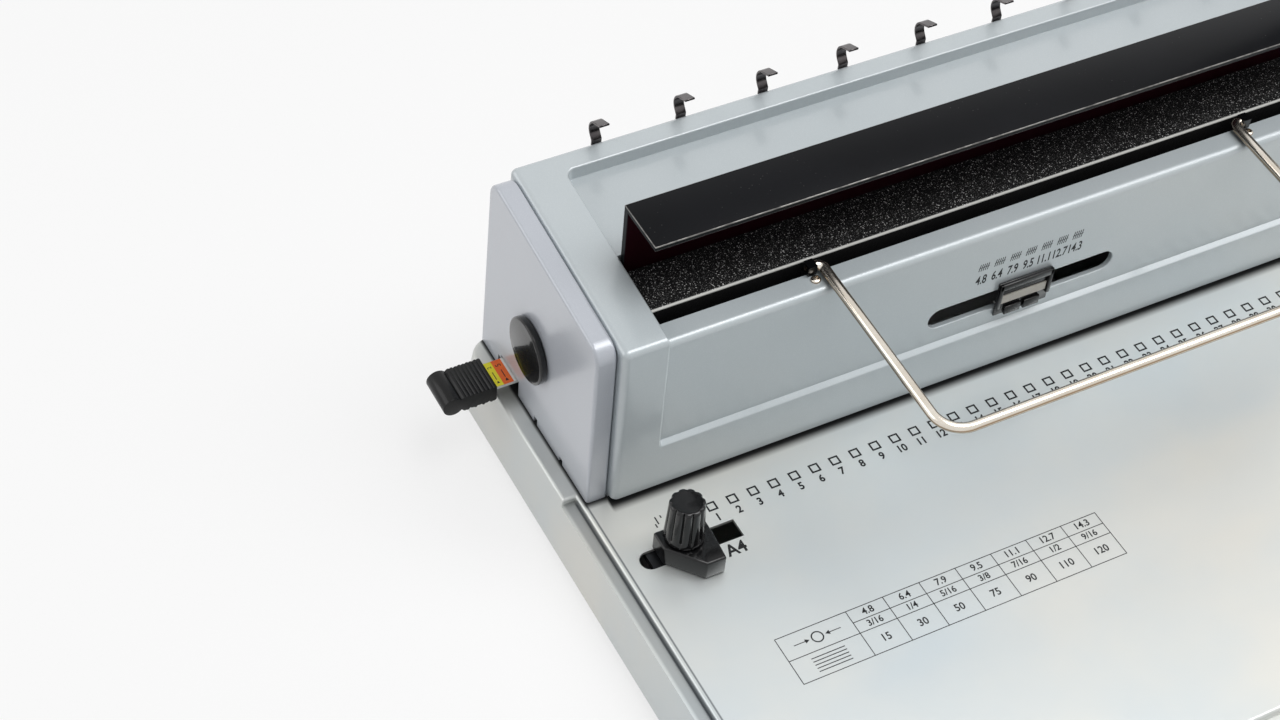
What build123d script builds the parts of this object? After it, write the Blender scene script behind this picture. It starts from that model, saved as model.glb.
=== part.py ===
from build123d import *
import math
import os

os.makedirs("parts", exist_ok=True)

# Hand operated 3:1 punch and wire closing machine.
# X runs along the hole row, Y from the user to the back, Z up, with the floor at zero.

# Hole row
pitch_group_length = 25.4
holes_in_group = 3
hole_pitch = pitch_group_length / holes_in_group
hole_side = 4.0
sheet_length = 297.0
hole_count = int(sheet_length / hole_pitch) - 1

# Fits and cutters
running_gap = 0.05
slide_gap = 0.15
seat_gap = 0.3
side_gap = 0.6
overrun = 5.0

# Base tray
foot_height = 4.0
foot_radius = 10.0
foot_inset = 28.0
base_height = 24.0
base_side_margin = 7.0
base_half_depth = 134.3
base_sheet = 1.2
base_corner_radius = 10.0
base_edge_round = 1.4
skirt_flare = 3.2
ledge_width = 4.9
ledge_drop = 3.0
ledge_end_setback = 8.5
base_top = foot_height + base_height

# Main cover
cover_wall = 2.0
cover_end_width = 17.5
cover_depth = 89.1
cover_rear_margin = 2.2
cover_back = base_half_depth - cover_rear_margin
cover_front = cover_back - cover_depth
cover_back_lean = 2.2
cover_back_height = 86.05
cover_slope = 6.08
cover_round = 2.5
throat_height = 1.8
panel_depth = 2.0
panel_foot_height = 22.4
panel_ledge_rise = 1.4
panel_sheet_gap = 5.2
panel_half_length = sheet_length / 2 + panel_sheet_gap
cover_half_length = panel_half_length + cover_end_width
panel_corner_round = 1.2
panel_rim_round = 0.8
shelf_height = 73.2
shelf_depth = 11.3
shelf_round = 2.5
opening_depth = 28.9
recess_floor_height = 80.0
recess_back_wall = 8.9
recess_corner_round = 3.5
shelf = base_top + shelf_height
panel_face = cover_front + panel_depth
opening_front = cover_front + shelf_depth
opening_back = opening_front + opening_depth
recess_back = cover_back - recess_back_wall
ledge_end_y = cover_front + ledge_end_setback
cover_top_back = base_top + cover_back_height

# End caps
cap_width = 7.9
cap_groove = 0.3
cap_setback = 3.8
cap_back_setback = 2.0
cap_round = 6.5
cap_rim_round = 1.2
cap_wall = 2.0
cap_relief_width = 2.5
cap_relief_heights = (2.2, 2.8)
cap_relief_setbacks = (24.5, 45.0)
cap_outer = cover_half_length + cap_groove + cap_width
base_half_width = cap_outer + base_side_margin

# Drive shaft and lever
shaft_radius = 7.0
shaft_height = 35.0
shaft_setback = 50.0
shaft_y = cover_front + shaft_setback
shaft_z = base_top + shaft_height
lever_turn = 80.0
disc_radius = 12.8
disc_thickness = 2.8
disc_round = 0.8
hub_radius = 17.0
hub_length = 21.5
hub_round = 1.5
arm_side_gap = 15.3
arm_offset = cap_outer + arm_side_gap
arm_thickness = 11.0
arm_foot_width = 28.0
arm_tip_width = 20.0
arm_length = 205.0
arm_lean = 6.0
arm_round = 2.0
grip_radius = 14.0
grip_length = 118.0
grip_over_tip = 18.0
grip_round = 6.0
bolt_head_radius = 5.0
bolt_head_height = 4.0
bolt_radius = 3.0
bolt_length = 18.0
socket_radius = 2.5
socket_depth = 2.2

# Punch set
die_thickness = 8.0
die_width = 18.0
throat_gap = 2.5
guide_thickness = 5.0
sheet_side_gap = 1.7
spacer_inner = sheet_length / 2 + sheet_side_gap
pin_lift = 0.5
punch_travel = 8.0
punch_bar_width = 15.6
punch_bar_clearance = 0.8
pin_seat = 6.0
die_gap = 0.3
cam_base_radius = 9.0
cam_width = 8.0
cam_inset = 40.0
cam_flank_points = 9
cam_crown_angle = 120.0
cam_side_angle = 15.0
lug_width = 12.0
lug_length = 12.0
lug_thickness = 4.0
lug_drop = 1.7
lug_place = 60.0
spring_radius = 4.0
spring_wall = 1.0

# Closing bar and its cranks
closer_end_gap = 1.0
closer_half_length = panel_half_length - closer_end_gap
closer_web = 2.5
closer_web_gap = 0.8
closer_flange = 2.0
closer_depth = 22.1
closer_top_height = 104.5
closer_foot_height = 38.0
crank_radius = 17.0
crank_thickness = 6.0
crank_hub_radius = 9.3
crank_boss_radius = 6.0
crank_pin_radius = 3.0
crank_pin_gap = 0.5
crank_pin_reach = 10.3
yoke_thickness = 4.0
yoke_wall = 4.4
yoke_front = 4.5
yoke_shaft_gap = 9.0
yoke_back_y = shaft_y - yoke_shaft_gap
yoke_flange_width = 12.0
yoke_flange_height = 26.0
yoke_screw_shares = (0.3, 0.8)
tab_share = 0.776
tab_width = 10.0
tab_height = 24.0
tab_toe = 11.5
notch_half_width = 11.0
notch_height = 22.0

# Platform under the closing bar
platform_height = 75.0
platform_thickness = 3.0
platform_front_gap = 4.7
platform_front = opening_front + platform_front_gap
platform_web_gap = 0.7
platform_lip = 12.0
platform_end_gap = 0.6
bracket_height = 10.0
bracket_depth = 14.0
bracket_thickness = 3.0

# Side frames
frame_cover_gap = 11.2
frame_plate = 4.0
frame_front_gap = 5.5
frame_rear_gap = 6.1
frame_height = 74.0
frame_foot_gap = 0.7
frame_inner = cover_half_length - frame_cover_gap - frame_plate
frame_front = cover_front + frame_front_gap
frame_back = cover_back - frame_rear_gap
frame_foot = frame_cover_gap - cover_wall - frame_foot_gap
cam_station = frame_inner - cam_inset
tab_place = -tab_share * cam_station
frame_tongue_drop = 10.0
frame_top_cut = 20.0
bush_radius = 10.0
bush_flange_radius = 12.0
bush_flange = 1.5
guide_block_width = 5.8
guide_block_reach = 7.2
guide_block_rear = 12.0
guide_block_front = opening_back - guide_block_reach
guide_block_back = shaft_y + guide_block_rear
guide_block_foot = 7.8
guide_block_top = 58.0
guide_slot_depth = 2.8
tie_radius = 5.0
front_tie_inset = 9.5
front_tie_y = frame_front + front_tie_inset
front_tie_height = 44.0
rear_tie_offset = 14.0
rear_tie_y = shaft_y + rear_tie_offset
rear_tie_height = 66.0
screw_radius = 2.0
screw_head_radius = 3.8
screw_head_height = 2.6
screw_length = 9.0
screw_slot_width = 1.0
screw_slot_depth = 1.0
foot_screw_front_inset = 11.5
foot_screw_back_inset = 5.0
foot_screw_places = (frame_front + foot_screw_front_inset, frame_back - foot_screw_back_inset)

# Sheet that roofs the paper throat
roof_sheet = 1.2
roof_setback = 4.5
roof_front = cover_front + roof_setback
roof_back_gap = 0.5

# Margin slider and the back stop
slider_thickness = 1.2
slider_offset = 10.7
slider_front = shaft_y + slider_offset
slider_width = 12.3
slider_height = 6.3
slider_end_gap = 21.0
slider_right = frame_inner - slider_end_gap
slider_in = 7.2
slider_out = 8.0
slider_ratio = 0.2
stop_offset = 4.6
stop_front = shaft_y + stop_offset
stop_depth = 20.4
stop_thickness = 1.9
stop_end_gap = 9.0
stop_half_length = frame_inner - stop_end_gap
stop_pin_radius = 2.0
stop_pin_inset = 29.0
stop_pin_reach = stop_half_length - stop_pin_inset
stop_pin_places = (-stop_pin_reach, 0.0, stop_pin_reach)
window_margin = 1.2
margin_grip_length = 21.3
margin_grip_lip = 0.1
margin_grip_front = slider_front - margin_grip_lip
margin_grip_width = 15.4
margin_grip_thickness = 7.7
margin_grip_lift = 0.4
margin_rib_count = 9
margin_rib_depth = 0.5
margin_bead_radius = 4.1
margin_tongue_seat = 6.0
label_margin = 8.0
guide_c_width = 10.0
guide_c_rear_gap = 5.1
guide_c_back = cover_back - guide_c_rear_gap
guide_c_arm = 2.0
guide_c_shares = (-0.98, -0.204, 0.612)
guide_c_places = [share * stop_half_length for share in guide_c_shares]

# Edge guide and its clamp
guide_slot_out = 25.9
guide_slot_in = 13.0
guide_slot_reach = 31.7
guide_slot_left = -sheet_length / 2 - guide_slot_out
guide_slot_right = -sheet_length / 2 + guide_slot_in
guide_slot_front = cover_front - guide_slot_reach
guide_slot_width = 8.0
edge_block_height = 8.3
edge_block_lift = 0.3
edge_block_round = 0.8
edge_block_width = 19.0
edge_block_depth = 20.1
edge_back_reach = 5.4
edge_toe = 1.0
edge_left_share = 0.42
edge_nose_share = 0.45
edge_stud_offset = 9.9
edge_stud_inset = 3.3
edge_stud_x = -sheet_length / 2 - edge_stud_offset
edge_stud_y = guide_slot_front + edge_stud_inset
edge_in = 9.0
edge_out = 8.0
edge_key_length = 12.0
edge_key_gap = 0.2
clamp_plate_length = 24.0
clamp_plate_width = 16.0
clamp_plate_thickness = 2.5
stud_radius = 2.5
stud_reach = 24.0
knob_foot_radius = 7.25
knob_top_radius = 6.3
knob_height = 17.9
knob_flutes = 11
knob_flute_radius = 1.25
knob_round = 1.0
knob_cap_web = 3.0

# Wire size selector
selector_x = -3.8
selector_step = 6.8
selector_steps = 3
selector_slot_foot = 31.4
selector_slot_height = 9.3
selector_slot_rim_round = 0.5
selector_slot_half_length = 40.4
selector_length = 23.4
selector_height = 16.4
selector_reach = 2.1
selector_round = 0.6
selector_stem_length = 14.0
selector_window_length = 20.0
selector_window_height = 6.4
selector_window_depth = 0.8
stop_plate = 2.0
stop_bar_setback = 23.0
stop_bar_front = cover_front + stop_bar_setback
stop_bar_width = 8.0
stop_bar_height = 2.6
stop_step_rise = 1.5
stop_clearance = 0.4
clip_wall = 1.6
clip_width = 8.0
clip_places = (-38.0, 35.0)
stop_bar_right = 60.5

# Document support frame
rod_radius = 1.9
rod_half_width = 88.7
rod_pivot_inset = 0.6
rod_pivot_y = opening_front + rod_pivot_inset
rod_pivot_height = 75.6
rod_reach = 82.6
rod_front_y = rod_pivot_y - rod_reach
rod_front_drop = 3.1
rod_corner_radius = 10.0
rod_journal_bend = 2.5
rod_shoulder = 91.3
rod_journal_end = 94.7
rod_journal_radius = 1.1
clip_block_inner = 91.5
clip_block_outer = 94.9
clip_block_overlap = 1.35
clip_block_length = 4.0
clip_block_front = opening_front - clip_block_overlap
clip_block_back = clip_block_front + clip_block_length
clip_block_top = 77.6
clip_tongue_inner = 90.4
clip_tongue_outer = 96.0
clip_tongue = 7.5
clip_tongue_thickness = 1.2
clip_screw_x = 93.0
clip_screw_setback = 5.8
clip_screw_y = panel_face + clip_screw_setback
clip_screw_radius = 1.2
clip_screw_head_radius = 1.85
clip_screw_head_height = 1.1
clip_screw_length = 5.0

# Hooks on the back edge
hook_every = 4
hook_sections = hole_count // hook_every
hook_pitch = hook_every * hole_pitch
hook_shift = -1.4
hook_width = 4.0
hook_sheet = 0.8
hook_leg_length = 2.2
hook_leg_lean = 40.0
hook_bend_radius = 4.1
hook_bend_turn = 106.0
hook_tab_length = 5.2
hook_band_height = 14.0
hook_band_drop = 3.0
hook_band_end = 10.53
hook_band_half_length = hook_pitch * hook_sections / 2 + hook_band_end
rivet_radius = 2.0
rivet_head_radius = 3.2
rivet_head_height = 1.0
rivet_inset = 26.1
rivet_reach = hook_band_half_length - rivet_inset
rivet_places = (-rivet_reach, 0.0, rivet_reach)

# Bottom plate, posts and chip drawer
bottom_sheet = 1.2
bottom_edge_gap = 0.3
post_radius = 4.0
post_side_inset = 14.4
post_front_inset = 22.3
post_middle_gap = 63.0
post_back_setback = 17.0
post_x = base_half_width - post_side_inset
post_places = (post_front_inset - base_half_depth, cover_front - post_middle_gap,
               cover_front + post_back_setback)
foot_screw_radius = 2.0
foot_screw_head_radius = 3.5
foot_screw_head_height = 1.8
foot_screw_length = 6.0
drawer_side_margin = 38.4
drawer_setback = 27.0
drawer_half_length = base_half_width - drawer_side_margin
drawer_front = cover_front + drawer_setback
drawer_height = 12.0
drawer_sheet = 1.2
drawer_face_depth = 1.6
drawer_face_margin = 1.2
drawer_proud = 2.6
drawer_back = base_half_depth + drawer_proud
drawer_pull_width = 60.0
drawer_pull_height = 5.0
drawer_travel = 60.0
rail_height = 7.0
rail_thickness = 1.5
rail_end_gap = 6.3
rail_back = base_half_depth - rail_end_gap

# Heights and places that follow from the sizes above
throat_roof = base_top + throat_gap
guide_top = throat_roof + guide_thickness
punch_bar_foot = guide_top + punch_travel + punch_bar_clearance
punch_bar_top = shaft_z - cam_base_radius - seat_gap
pin_foot = throat_roof + pin_lift
platform_top = base_top + platform_height
closer_web_back = opening_back - closer_web_gap
closer_web_front = closer_web_back - closer_web
closer_top = base_top + closer_top_height
closer_foot = base_top + closer_foot_height
crank_start = lever_turn / 2
crank_drop = crank_radius * math.sin(math.radians(crank_start))
closer_travel = 2 * crank_drop
crank_pin_z = shaft_z + crank_drop
slider_z = base_top + slider_height
crank_inner = cam_station + cam_width / 2
yoke_inner = crank_inner + crank_thickness + side_gap
notch_place = cam_station - cam_width / 2 + notch_half_width


def block(x0, x1, y0, y1, z0, z1):
    """Rectangular solid between three pairs of coordinates."""
    middle = Pos((x0 + x1) / 2, (y0 + y1) / 2, (z0 + z1) / 2)
    return middle * Box(x1 - x0, y1 - y0, z1 - z0)


def along_x(points, x0, x1):
    """Outline in Y and Z, extruded from x0 to x1."""
    face = make_face(Polyline(*points, close=True))
    return extrude(Plane.YZ.offset(x0) * face, amount=x1 - x0)


def upright(points, z0, z1):
    """Outline in X and Y, extruded from z0 to z1."""
    face = make_face(Polyline(*points, close=True))
    return extrude(Plane.XY.offset(z0) * face, amount=z1 - z0)


def rod_x(radius, x0, x1, y, z):
    """Round bar along X."""
    return Pos((x0 + x1) / 2, y, z) * Rot(0, 90, 0) * Cylinder(radius, x1 - x0)


def rod_z(radius, z0, z1, x, y):
    """Round bar along Z."""
    return Pos(x, y, (z0 + z1) / 2) * Cylinder(radius, z1 - z0)


def mirrored(shape):
    """The same shape at the other end of the machine."""
    return mirror(shape, about=Plane.YZ)


def group(shapes):
    """Separate solids that share one node."""
    return Compound([solid for shape in shapes for solid in shape.solids()])


def pair(shape):
    """A shape and its mirror image as one group."""
    return group([shape, mirrored(shape)])


def edges_at(shape, axis, value, near=0.01):
    """Edges that lie at one coordinate along an axis."""
    return shape.edges().filter_by_position(axis, value - near, value + near)


def screw(radius, length, head_radius, head_height):
    """Slotted pan head screw that points down from the origin."""
    head = Pos(0, 0, head_height / 2) * Cylinder(head_radius, head_height)
    head = fillet(edges_at(head, Axis.Z, head_height), head_height / 3)
    shank = Pos(0, 0, -length / 2) * Cylinder(radius, length)
    slot_depth = min(screw_slot_depth, head_height / 2)
    slot = Pos(0, 0, head_height) * Box(2 * head_radius, head_radius / 4, 2 * slot_depth)
    return head + shank - slot


def cover_top(y):
    """Height of the sloping top at a place across the cover."""
    return cover_top_back + (y - cover_back) * math.tan(math.radians(cover_slope))


def tray_solid(inset):
    """Solid of the base tray, drawn in by inset on every face but the bottom."""
    top_size = (base_half_width - inset, base_half_depth - inset)
    foot_size = (top_size[0] + skirt_flare, top_size[1] + skirt_flare)
    corner = base_corner_radius - inset
    high = Plane.XY.offset(base_top - inset) * RectangleRounded(2 * top_size[0], 2 * top_size[1], corner)
    low_corner = corner + skirt_flare
    low = Plane.XY.offset(foot_height) * RectangleRounded(2 * foot_size[0], 2 * foot_size[1], low_corner)
    solid = loft([low, high])
    ledge_x = base_half_width - ledge_width - inset
    ledge_y = base_half_depth - ledge_width - inset
    ledge_z = base_top - ledge_drop - inset
    far_x = base_half_width + overrun
    far_y = base_half_depth + overrun
    back_y = ledge_end_y + inset
    side = block(ledge_x, far_x, -far_y, back_y, ledge_z, base_top + overrun)
    front = block(-far_x, far_x, -far_y, -ledge_y, ledge_z, base_top + overrun)
    return solid - side - mirrored(side) - front


def guide_slot_cut():
    """Slot of the edge guide, round at its outer end."""
    radius = guide_slot_width / 2
    low = base_top - overrun
    high = base_top + overrun
    back = guide_slot_front + guide_slot_width
    straight = block(guide_slot_left + radius, guide_slot_right, guide_slot_front, back, low, high)
    return straight + rod_z(radius, low, high, guide_slot_left + radius, guide_slot_front + radius)


def drawer_mouth():
    """Opening for the chip drawer in the back of the tray."""
    half = drawer_half_length + drawer_face_margin + side_gap
    low = foot_height + bottom_sheet
    high = low + drawer_height + drawer_face_margin + side_gap
    return block(-half, half, base_half_depth - overrun, base_half_depth + overrun, low, high)


def foot_screw_spots():
    """Places of the screws that hold the side frames to the tray."""
    x = frame_inner + frame_plate + frame_foot / 2
    return [(side * x, y) for side in (-1, 1) for y in foot_screw_places]


def base_pan():
    """Pressed sheet tray with flared skirt, ledge, slots and screw holes."""
    outer = tray_solid(0)
    outer = fillet(edges_at(outer, Axis.Z, base_top), base_edge_round)
    pan = outer - tray_solid(base_sheet)
    die_half_x = frame_inner + frame_plate + seat_gap
    die_half_y = die_width / 2 + seat_gap
    low = base_top - overrun
    high = base_top + overrun
    pan -= block(-die_half_x, die_half_x, shaft_y - die_half_y, shaft_y + die_half_y, low, high)
    pan -= guide_slot_cut()
    pan -= drawer_mouth()
    for x, y in foot_screw_spots():
        pan -= rod_z(screw_radius + running_gap, low, high, x, y)
    return pan


def foot_spots():
    """Places of the four feet."""
    x = base_half_width - foot_inset
    y = base_half_depth - foot_inset
    return [(side * x, end * y) for side in (-1, 1) for end in (-1, 1)]


def bottom_plate():
    """Flat sheet that closes the tray from below."""
    half_x = base_half_width + skirt_flare - base_sheet - bottom_edge_gap - running_gap
    half_y = base_half_depth + skirt_flare - base_sheet - bottom_edge_gap - running_gap
    corner = base_corner_radius + skirt_flare
    flare_loss = skirt_flare * bottom_sheet / base_height
    size = RectangleRounded(2 * (half_x - flare_loss), 2 * (half_y - flare_loss), corner)
    plate = extrude(Plane.XY.offset(foot_height) * size, amount=bottom_sheet)
    for x, y in foot_spots():
        plate -= rod_z(foot_screw_radius + running_gap, 0, base_top, x, y)
    return plate


def rubber_foot():
    """Tapered round foot with a sunk hole for its screw."""
    taper = Cone(foot_radius - foot_height / 4, foot_radius, foot_height)
    foot = Pos(0, 0, foot_height / 2) * taper
    foot -= rod_z(foot_screw_radius + running_gap, 0, foot_height, 0, 0)
    return foot - rod_z(foot_screw_head_radius + seat_gap, 0, foot_screw_head_height + seat_gap, 0, 0)


def foot_screw():
    """Screw that holds a foot to the bottom plate."""
    pan_head = screw(foot_screw_radius, foot_screw_length, foot_screw_head_radius, foot_screw_head_height)
    return Pos(0, 0, foot_screw_head_height + seat_gap) * Rot(180, 0, 0) * pan_head


def base_posts():
    """Posts between the bottom plate and the tray."""
    low = foot_height + bottom_sheet
    high = base_top - base_sheet
    spots = [(side * post_x, y) for side in (-1, 1) for y in post_places]
    return group([rod_z(post_radius, low, high, x, y) for x, y in spots])


def chip_drawer():
    """Shallow tray for the punched chips, with its own back face and finger edge."""
    low = foot_height + bottom_sheet + seat_gap
    high = low + drawer_height
    body_back = drawer_back - drawer_face_depth
    tray = block(-drawer_half_length, drawer_half_length, drawer_front, body_back, low, high)
    inner_x = drawer_half_length - drawer_sheet
    inside = block(-inner_x, inner_x, drawer_front + drawer_sheet, body_back, low + drawer_sheet, high)
    face_x = drawer_half_length + drawer_face_margin
    face = block(-face_x, face_x, body_back, drawer_back, low, high + drawer_face_margin)
    pull_x = drawer_pull_width / 2
    pull = block(-pull_x, pull_x, body_back, drawer_back, high + drawer_face_margin - drawer_pull_height,
                 high + drawer_face_margin)
    return tray - inside + face - pull


def drawer_rails():
    """Two angle rails that guide the drawer."""
    low = foot_height + bottom_sheet
    inner = drawer_half_length + seat_gap
    return pair(block(inner, inner + rail_thickness, drawer_front, rail_back, low, low + rail_height))


def cover_outline(inset):
    """Cross-section of the cover, drawn in by inset at the front, top and back."""
    front = cover_front + inset
    back = cover_back - inset
    drop = inset / math.cos(math.radians(cover_slope))
    foot = (back + cover_back_lean, base_top)
    return [(front, base_top), (front, cover_top(front) - drop), (back, cover_top(back) - drop), foot]


def ledge_top(y, grow):
    """Height of the sloping foot of the panel, enlarged by grow."""
    slope = panel_ledge_rise / panel_depth
    return base_top + panel_foot_height + (y - cover_front) * slope - grow * math.hypot(1, slope)


def cover_hollows(grow):
    """Panel, shelf and top recess that sink into the cover, enlarged by grow."""
    half = panel_half_length + grow
    high = cover_top_back + overrun
    front = cover_front - overrun
    back = panel_face + grow
    panel = along_x([(front, ledge_top(front, grow)), (back, ledge_top(back, grow)), (back, high),
                     (front, high)], -half, half)
    corners = [edges_at(panel, Axis.X, end).sort_by(Axis.Z)[0] for end in (-half, half)]
    panel = fillet(corners, panel_corner_round + grow)
    step = block(-half, half, front, opening_back + grow, shelf - grow, high)
    recess_floor = base_top + recess_floor_height - grow
    back = recess_back + grow
    recess = block(-half, half, opening_back, back, recess_floor, high)
    near = cover_wall / 2
    corners = recess.edges().filter_by(Axis.Z).filter_by_position(Axis.Y, back - near, back + near)
    recess = fillet(corners, recess_corner_round + grow)
    return panel + step + recess


def selector_slot_cut(front, back):
    """Long slot of the size selector, round at both ends."""
    radius = selector_slot_height / 2
    z = base_top + selector_slot_foot + radius
    half = selector_slot_half_length - radius
    cut = block(selector_x - half, selector_x + half, front, back, z - radius, z + radius)
    for x in (selector_x - half, selector_x + half):
        cut += Pos(x, (front + back) / 2, z) * Rot(90, 0, 0) * Cylinder(radius, back - front)
    return cut


def slider_window(x0, x1, top_margin):
    """Opening through which the margin slider passes an end wall."""
    y0 = slider_front - window_margin
    y1 = slider_front + slider_width + window_margin
    return block(x0, x1, y0, y1, base_top - overrun, slider_z + slider_thickness + top_margin)


def edges_over(shape, z):
    """Edges whose middle lies above a height."""
    return shape.edges().filter_by_position(Axis.Z, z, cover_top_back + overrun)


def main_cover():
    """Moulded housing with end walls, sunk panel, shelf, closer opening and top recess."""
    outer = along_x(cover_outline(0), -cover_half_length, cover_half_length)
    outer = fillet(edges_over(outer, base_top + cover_wall), cover_round)
    outer -= cover_hollows(0)
    rim = edges_at(outer, Axis.Z, ledge_top(cover_front, 0)).sort_by(Axis.Y)[0]
    outer = fillet(rim, panel_rim_round)
    shelf_edge = outer.edges().filter_by(Axis.X)
    shelf_edge = shelf_edge.filter_by_position(Axis.Z, shelf - 0.01, shelf + 0.01)
    shelf_edge = shelf_edge.filter_by_position(Axis.Y, panel_face - 0.01, panel_face + 0.01)
    outer = fillet(shelf_edge, shelf_round)
    inner_half = cover_half_length - cover_wall
    cavity = along_x(cover_outline(cover_wall), -inner_half, inner_half) - cover_hollows(cover_wall)
    cover = outer - cavity
    cover -= block(-panel_half_length, panel_half_length, opening_front, opening_back,
                   shelf - cover_wall - overrun, cover_top_back + overrun)
    throat_back = cover_front + 2 * cover_wall
    far = cover_half_length + overrun
    cover -= block(-far, far, cover_front - overrun, throat_back, base_top - overrun,
                   base_top + throat_height)
    cover -= selector_slot_cut(cover_front - overrun, panel_face + cover_wall + overrun)
    slot_low = base_top + selector_slot_foot
    slot_rim = edges_at(cover, Axis.Y, panel_face).filter_by_position(
        Axis.Z, slot_low - overrun, slot_low + selector_slot_height + overrun)
    slot_reach = abs(selector_x) + selector_slot_half_length
    slot_rim = slot_rim.filter_by_position(Axis.X, -slot_reach, slot_reach)
    cover = fillet(slot_rim, selector_slot_rim_round)
    shaft_slot = rod_x(shaft_radius + side_gap, inner_half - overrun, far, shaft_y, shaft_z)
    half_slot = shaft_radius + side_gap
    shaft_slot += block(inner_half - overrun, far, shaft_y - half_slot, shaft_y + half_slot,
                        base_top - overrun, shaft_z)
    cover = cover - shaft_slot - mirrored(shaft_slot)
    cover -= slider_window(-far, -inner_half + overrun, window_margin)
    for side in (-1, 1):
        cover -= rod_z(clip_screw_radius + slide_gap, shelf - overrun, shelf + overrun,
                       side * clip_screw_x, clip_screw_y)
    for x in rivet_places:
        cover -= rivet_place(x) * Cylinder(rivet_radius + running_gap, 4 * overrun)
    return cover


def cap_outline(inset, foot):
    """Cross-section of an end cap, drawn in by inset at the front, top and back."""
    front = cover_front + cap_setback + inset
    back = cover_back - cap_back_setback - inset
    drop = inset / math.cos(math.radians(cover_slope))
    foot_point = (back + cover_back_lean + cap_back_setback, foot)
    return [(front, foot), (front, cover_top(front) - drop), (back, cover_top(back) - drop), foot_point]


def end_cap():
    """Right end cap, an open box that closes the end of the cover."""
    inner = cover_half_length + cap_groove
    foot = base_top + seat_gap
    cap = along_x(cap_outline(0, foot), inner, cap_outer)
    cap = fillet(edges_over(cap, foot + cap_wall).filter_by(Axis.X), cap_round)
    rims = edges_at(cap, Axis.X, cap_outer) + edges_at(cap, Axis.X, inner)
    rims = rims.filter_by_position(Axis.Z, foot + cap_wall, cover_top_back + overrun)
    cap = fillet(rims, cap_rim_round)
    hollow = along_x(cap_outline(cap_wall, foot), inner, cap_outer - cap_wall)
    cap -= fillet(edges_over(hollow, foot + cap_wall).filter_by(Axis.X), cap_round - cap_wall)
    cap -= rod_x(shaft_radius + side_gap, inner, cap_outer + overrun, shaft_y, shaft_z)
    half = cap_relief_width / 2
    for setback, height in zip(cap_relief_setbacks, cap_relief_heights):
        y = cover_front + setback
        cap -= block(inner, cap_outer + overrun, y - half, y + half, base_top, foot + height)
    return cap


def left_end_cap():
    """Left end cap, with the notch for the margin slider."""
    return mirrored(end_cap()) - slider_window(-cap_outer - overrun, -cover_half_length, seat_gap)


def hook_frame():
    """Transform onto the leaning back face of the cover, at its top edge."""
    lean = math.degrees(math.atan(cover_back_lean / cover_back_height))
    return Pos(0, cover_back, cover_top_back) * Rot(lean, 0, 0)


def rivet_place(x):
    """Transform of one rivet, pointing out of the back of the cover."""
    depth = -hook_band_drop - hook_band_height / 2
    return hook_frame() * Pos(x, hook_sheet, depth) * Rot(-90, 0, 0)


def turned(point, angle, length):
    """Point at a distance from another one, in a direction measured from upright."""
    turn = math.radians(angle)
    return (point[0] + length * math.sin(turn), point[1] + length * math.cos(turn))


def hook(x):
    """One hook: a leg that leans back, a round bend and a tab that rises to the front."""
    half = hook_sheet / 2
    inner = hook_bend_radius
    outer = hook_bend_radius + hook_sheet
    knee = (half, 0)
    leg_end = turned(knee, hook_leg_lean, hook_leg_length)
    middle = turned(leg_end, hook_leg_lean - 90, inner + half)
    last = hook_leg_lean - hook_bend_turn
    outline = [Line(turned(knee, hook_leg_lean + 90, half), turned(middle, hook_leg_lean + 90, outer))]
    half_way = hook_leg_lean + 90 - hook_bend_turn / 2
    outer_end = turned(middle, last + 90, outer)
    inner_end = turned(middle, last + 90, inner)
    outer_tip = turned(outer_end, last, hook_tab_length)
    inner_tip = turned(inner_end, last, hook_tab_length)
    inner_start = turned(middle, hook_leg_lean + 90, inner)
    inner_knee = turned(knee, hook_leg_lean - 90, half)
    outline += [ThreePointArc(outline[0] @ 1, turned(middle, half_way, outer), outer_end),
                Line(outer_end, outer_tip), Line(outer_tip, inner_tip), Line(inner_tip, inner_end),
                ThreePointArc(inner_end, turned(middle, half_way, inner), inner_start),
                Line(inner_start, inner_knee), Line(inner_knee, outline[0] @ 0)]
    face = make_face(outline)
    hook_plane = Plane(origin=(x - hook_width / 2, 0, 0), x_dir=(0, 1, 0), z_dir=(1, 0, 0))
    bent = extrude(hook_plane * face, amount=hook_width)
    knee_round = rod_x(half, x - hook_width / 2, x + hook_width / 2, half, 0)
    leg = block(x - hook_width / 2, x + hook_width / 2, 0, hook_sheet, -hook_band_drop - half, 0)
    return bent + knee_round + leg


def hook_strip():
    """Sheet strip with a row of bent hooks that stand over the back edge."""
    band_top = -hook_band_drop
    strip = block(-hook_band_half_length, hook_band_half_length, 0, hook_sheet,
                  band_top - hook_band_height, band_top)
    start = hook_shift - hook_pitch * hook_sections / 2
    for index in range(hook_sections + 1):
        strip += hook(start + index * hook_pitch)
    for x in rivet_places:
        depth = band_top - hook_band_height / 2
        hole = Pos(x, 0, depth) * Rot(90, 0, 0) * Cylinder(rivet_radius + running_gap, 4 * overrun)
        strip -= hole
    return hook_frame() * strip


def hook_rivets():
    """Rivets that hold the hook strip to the cover."""
    head = Pos(0, 0, rivet_head_height / 2) * Cylinder(rivet_head_radius, rivet_head_height)
    head = fillet(edges_at(head, Axis.Z, rivet_head_height), rivet_head_height / 2)
    shank_length = hook_sheet + cover_wall + rivet_head_height
    shank = Pos(0, 0, -shank_length / 2) * Cylinder(rivet_radius, shank_length)
    return group([rivet_place(x) * (head + shank) for x in rivet_places])


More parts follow.
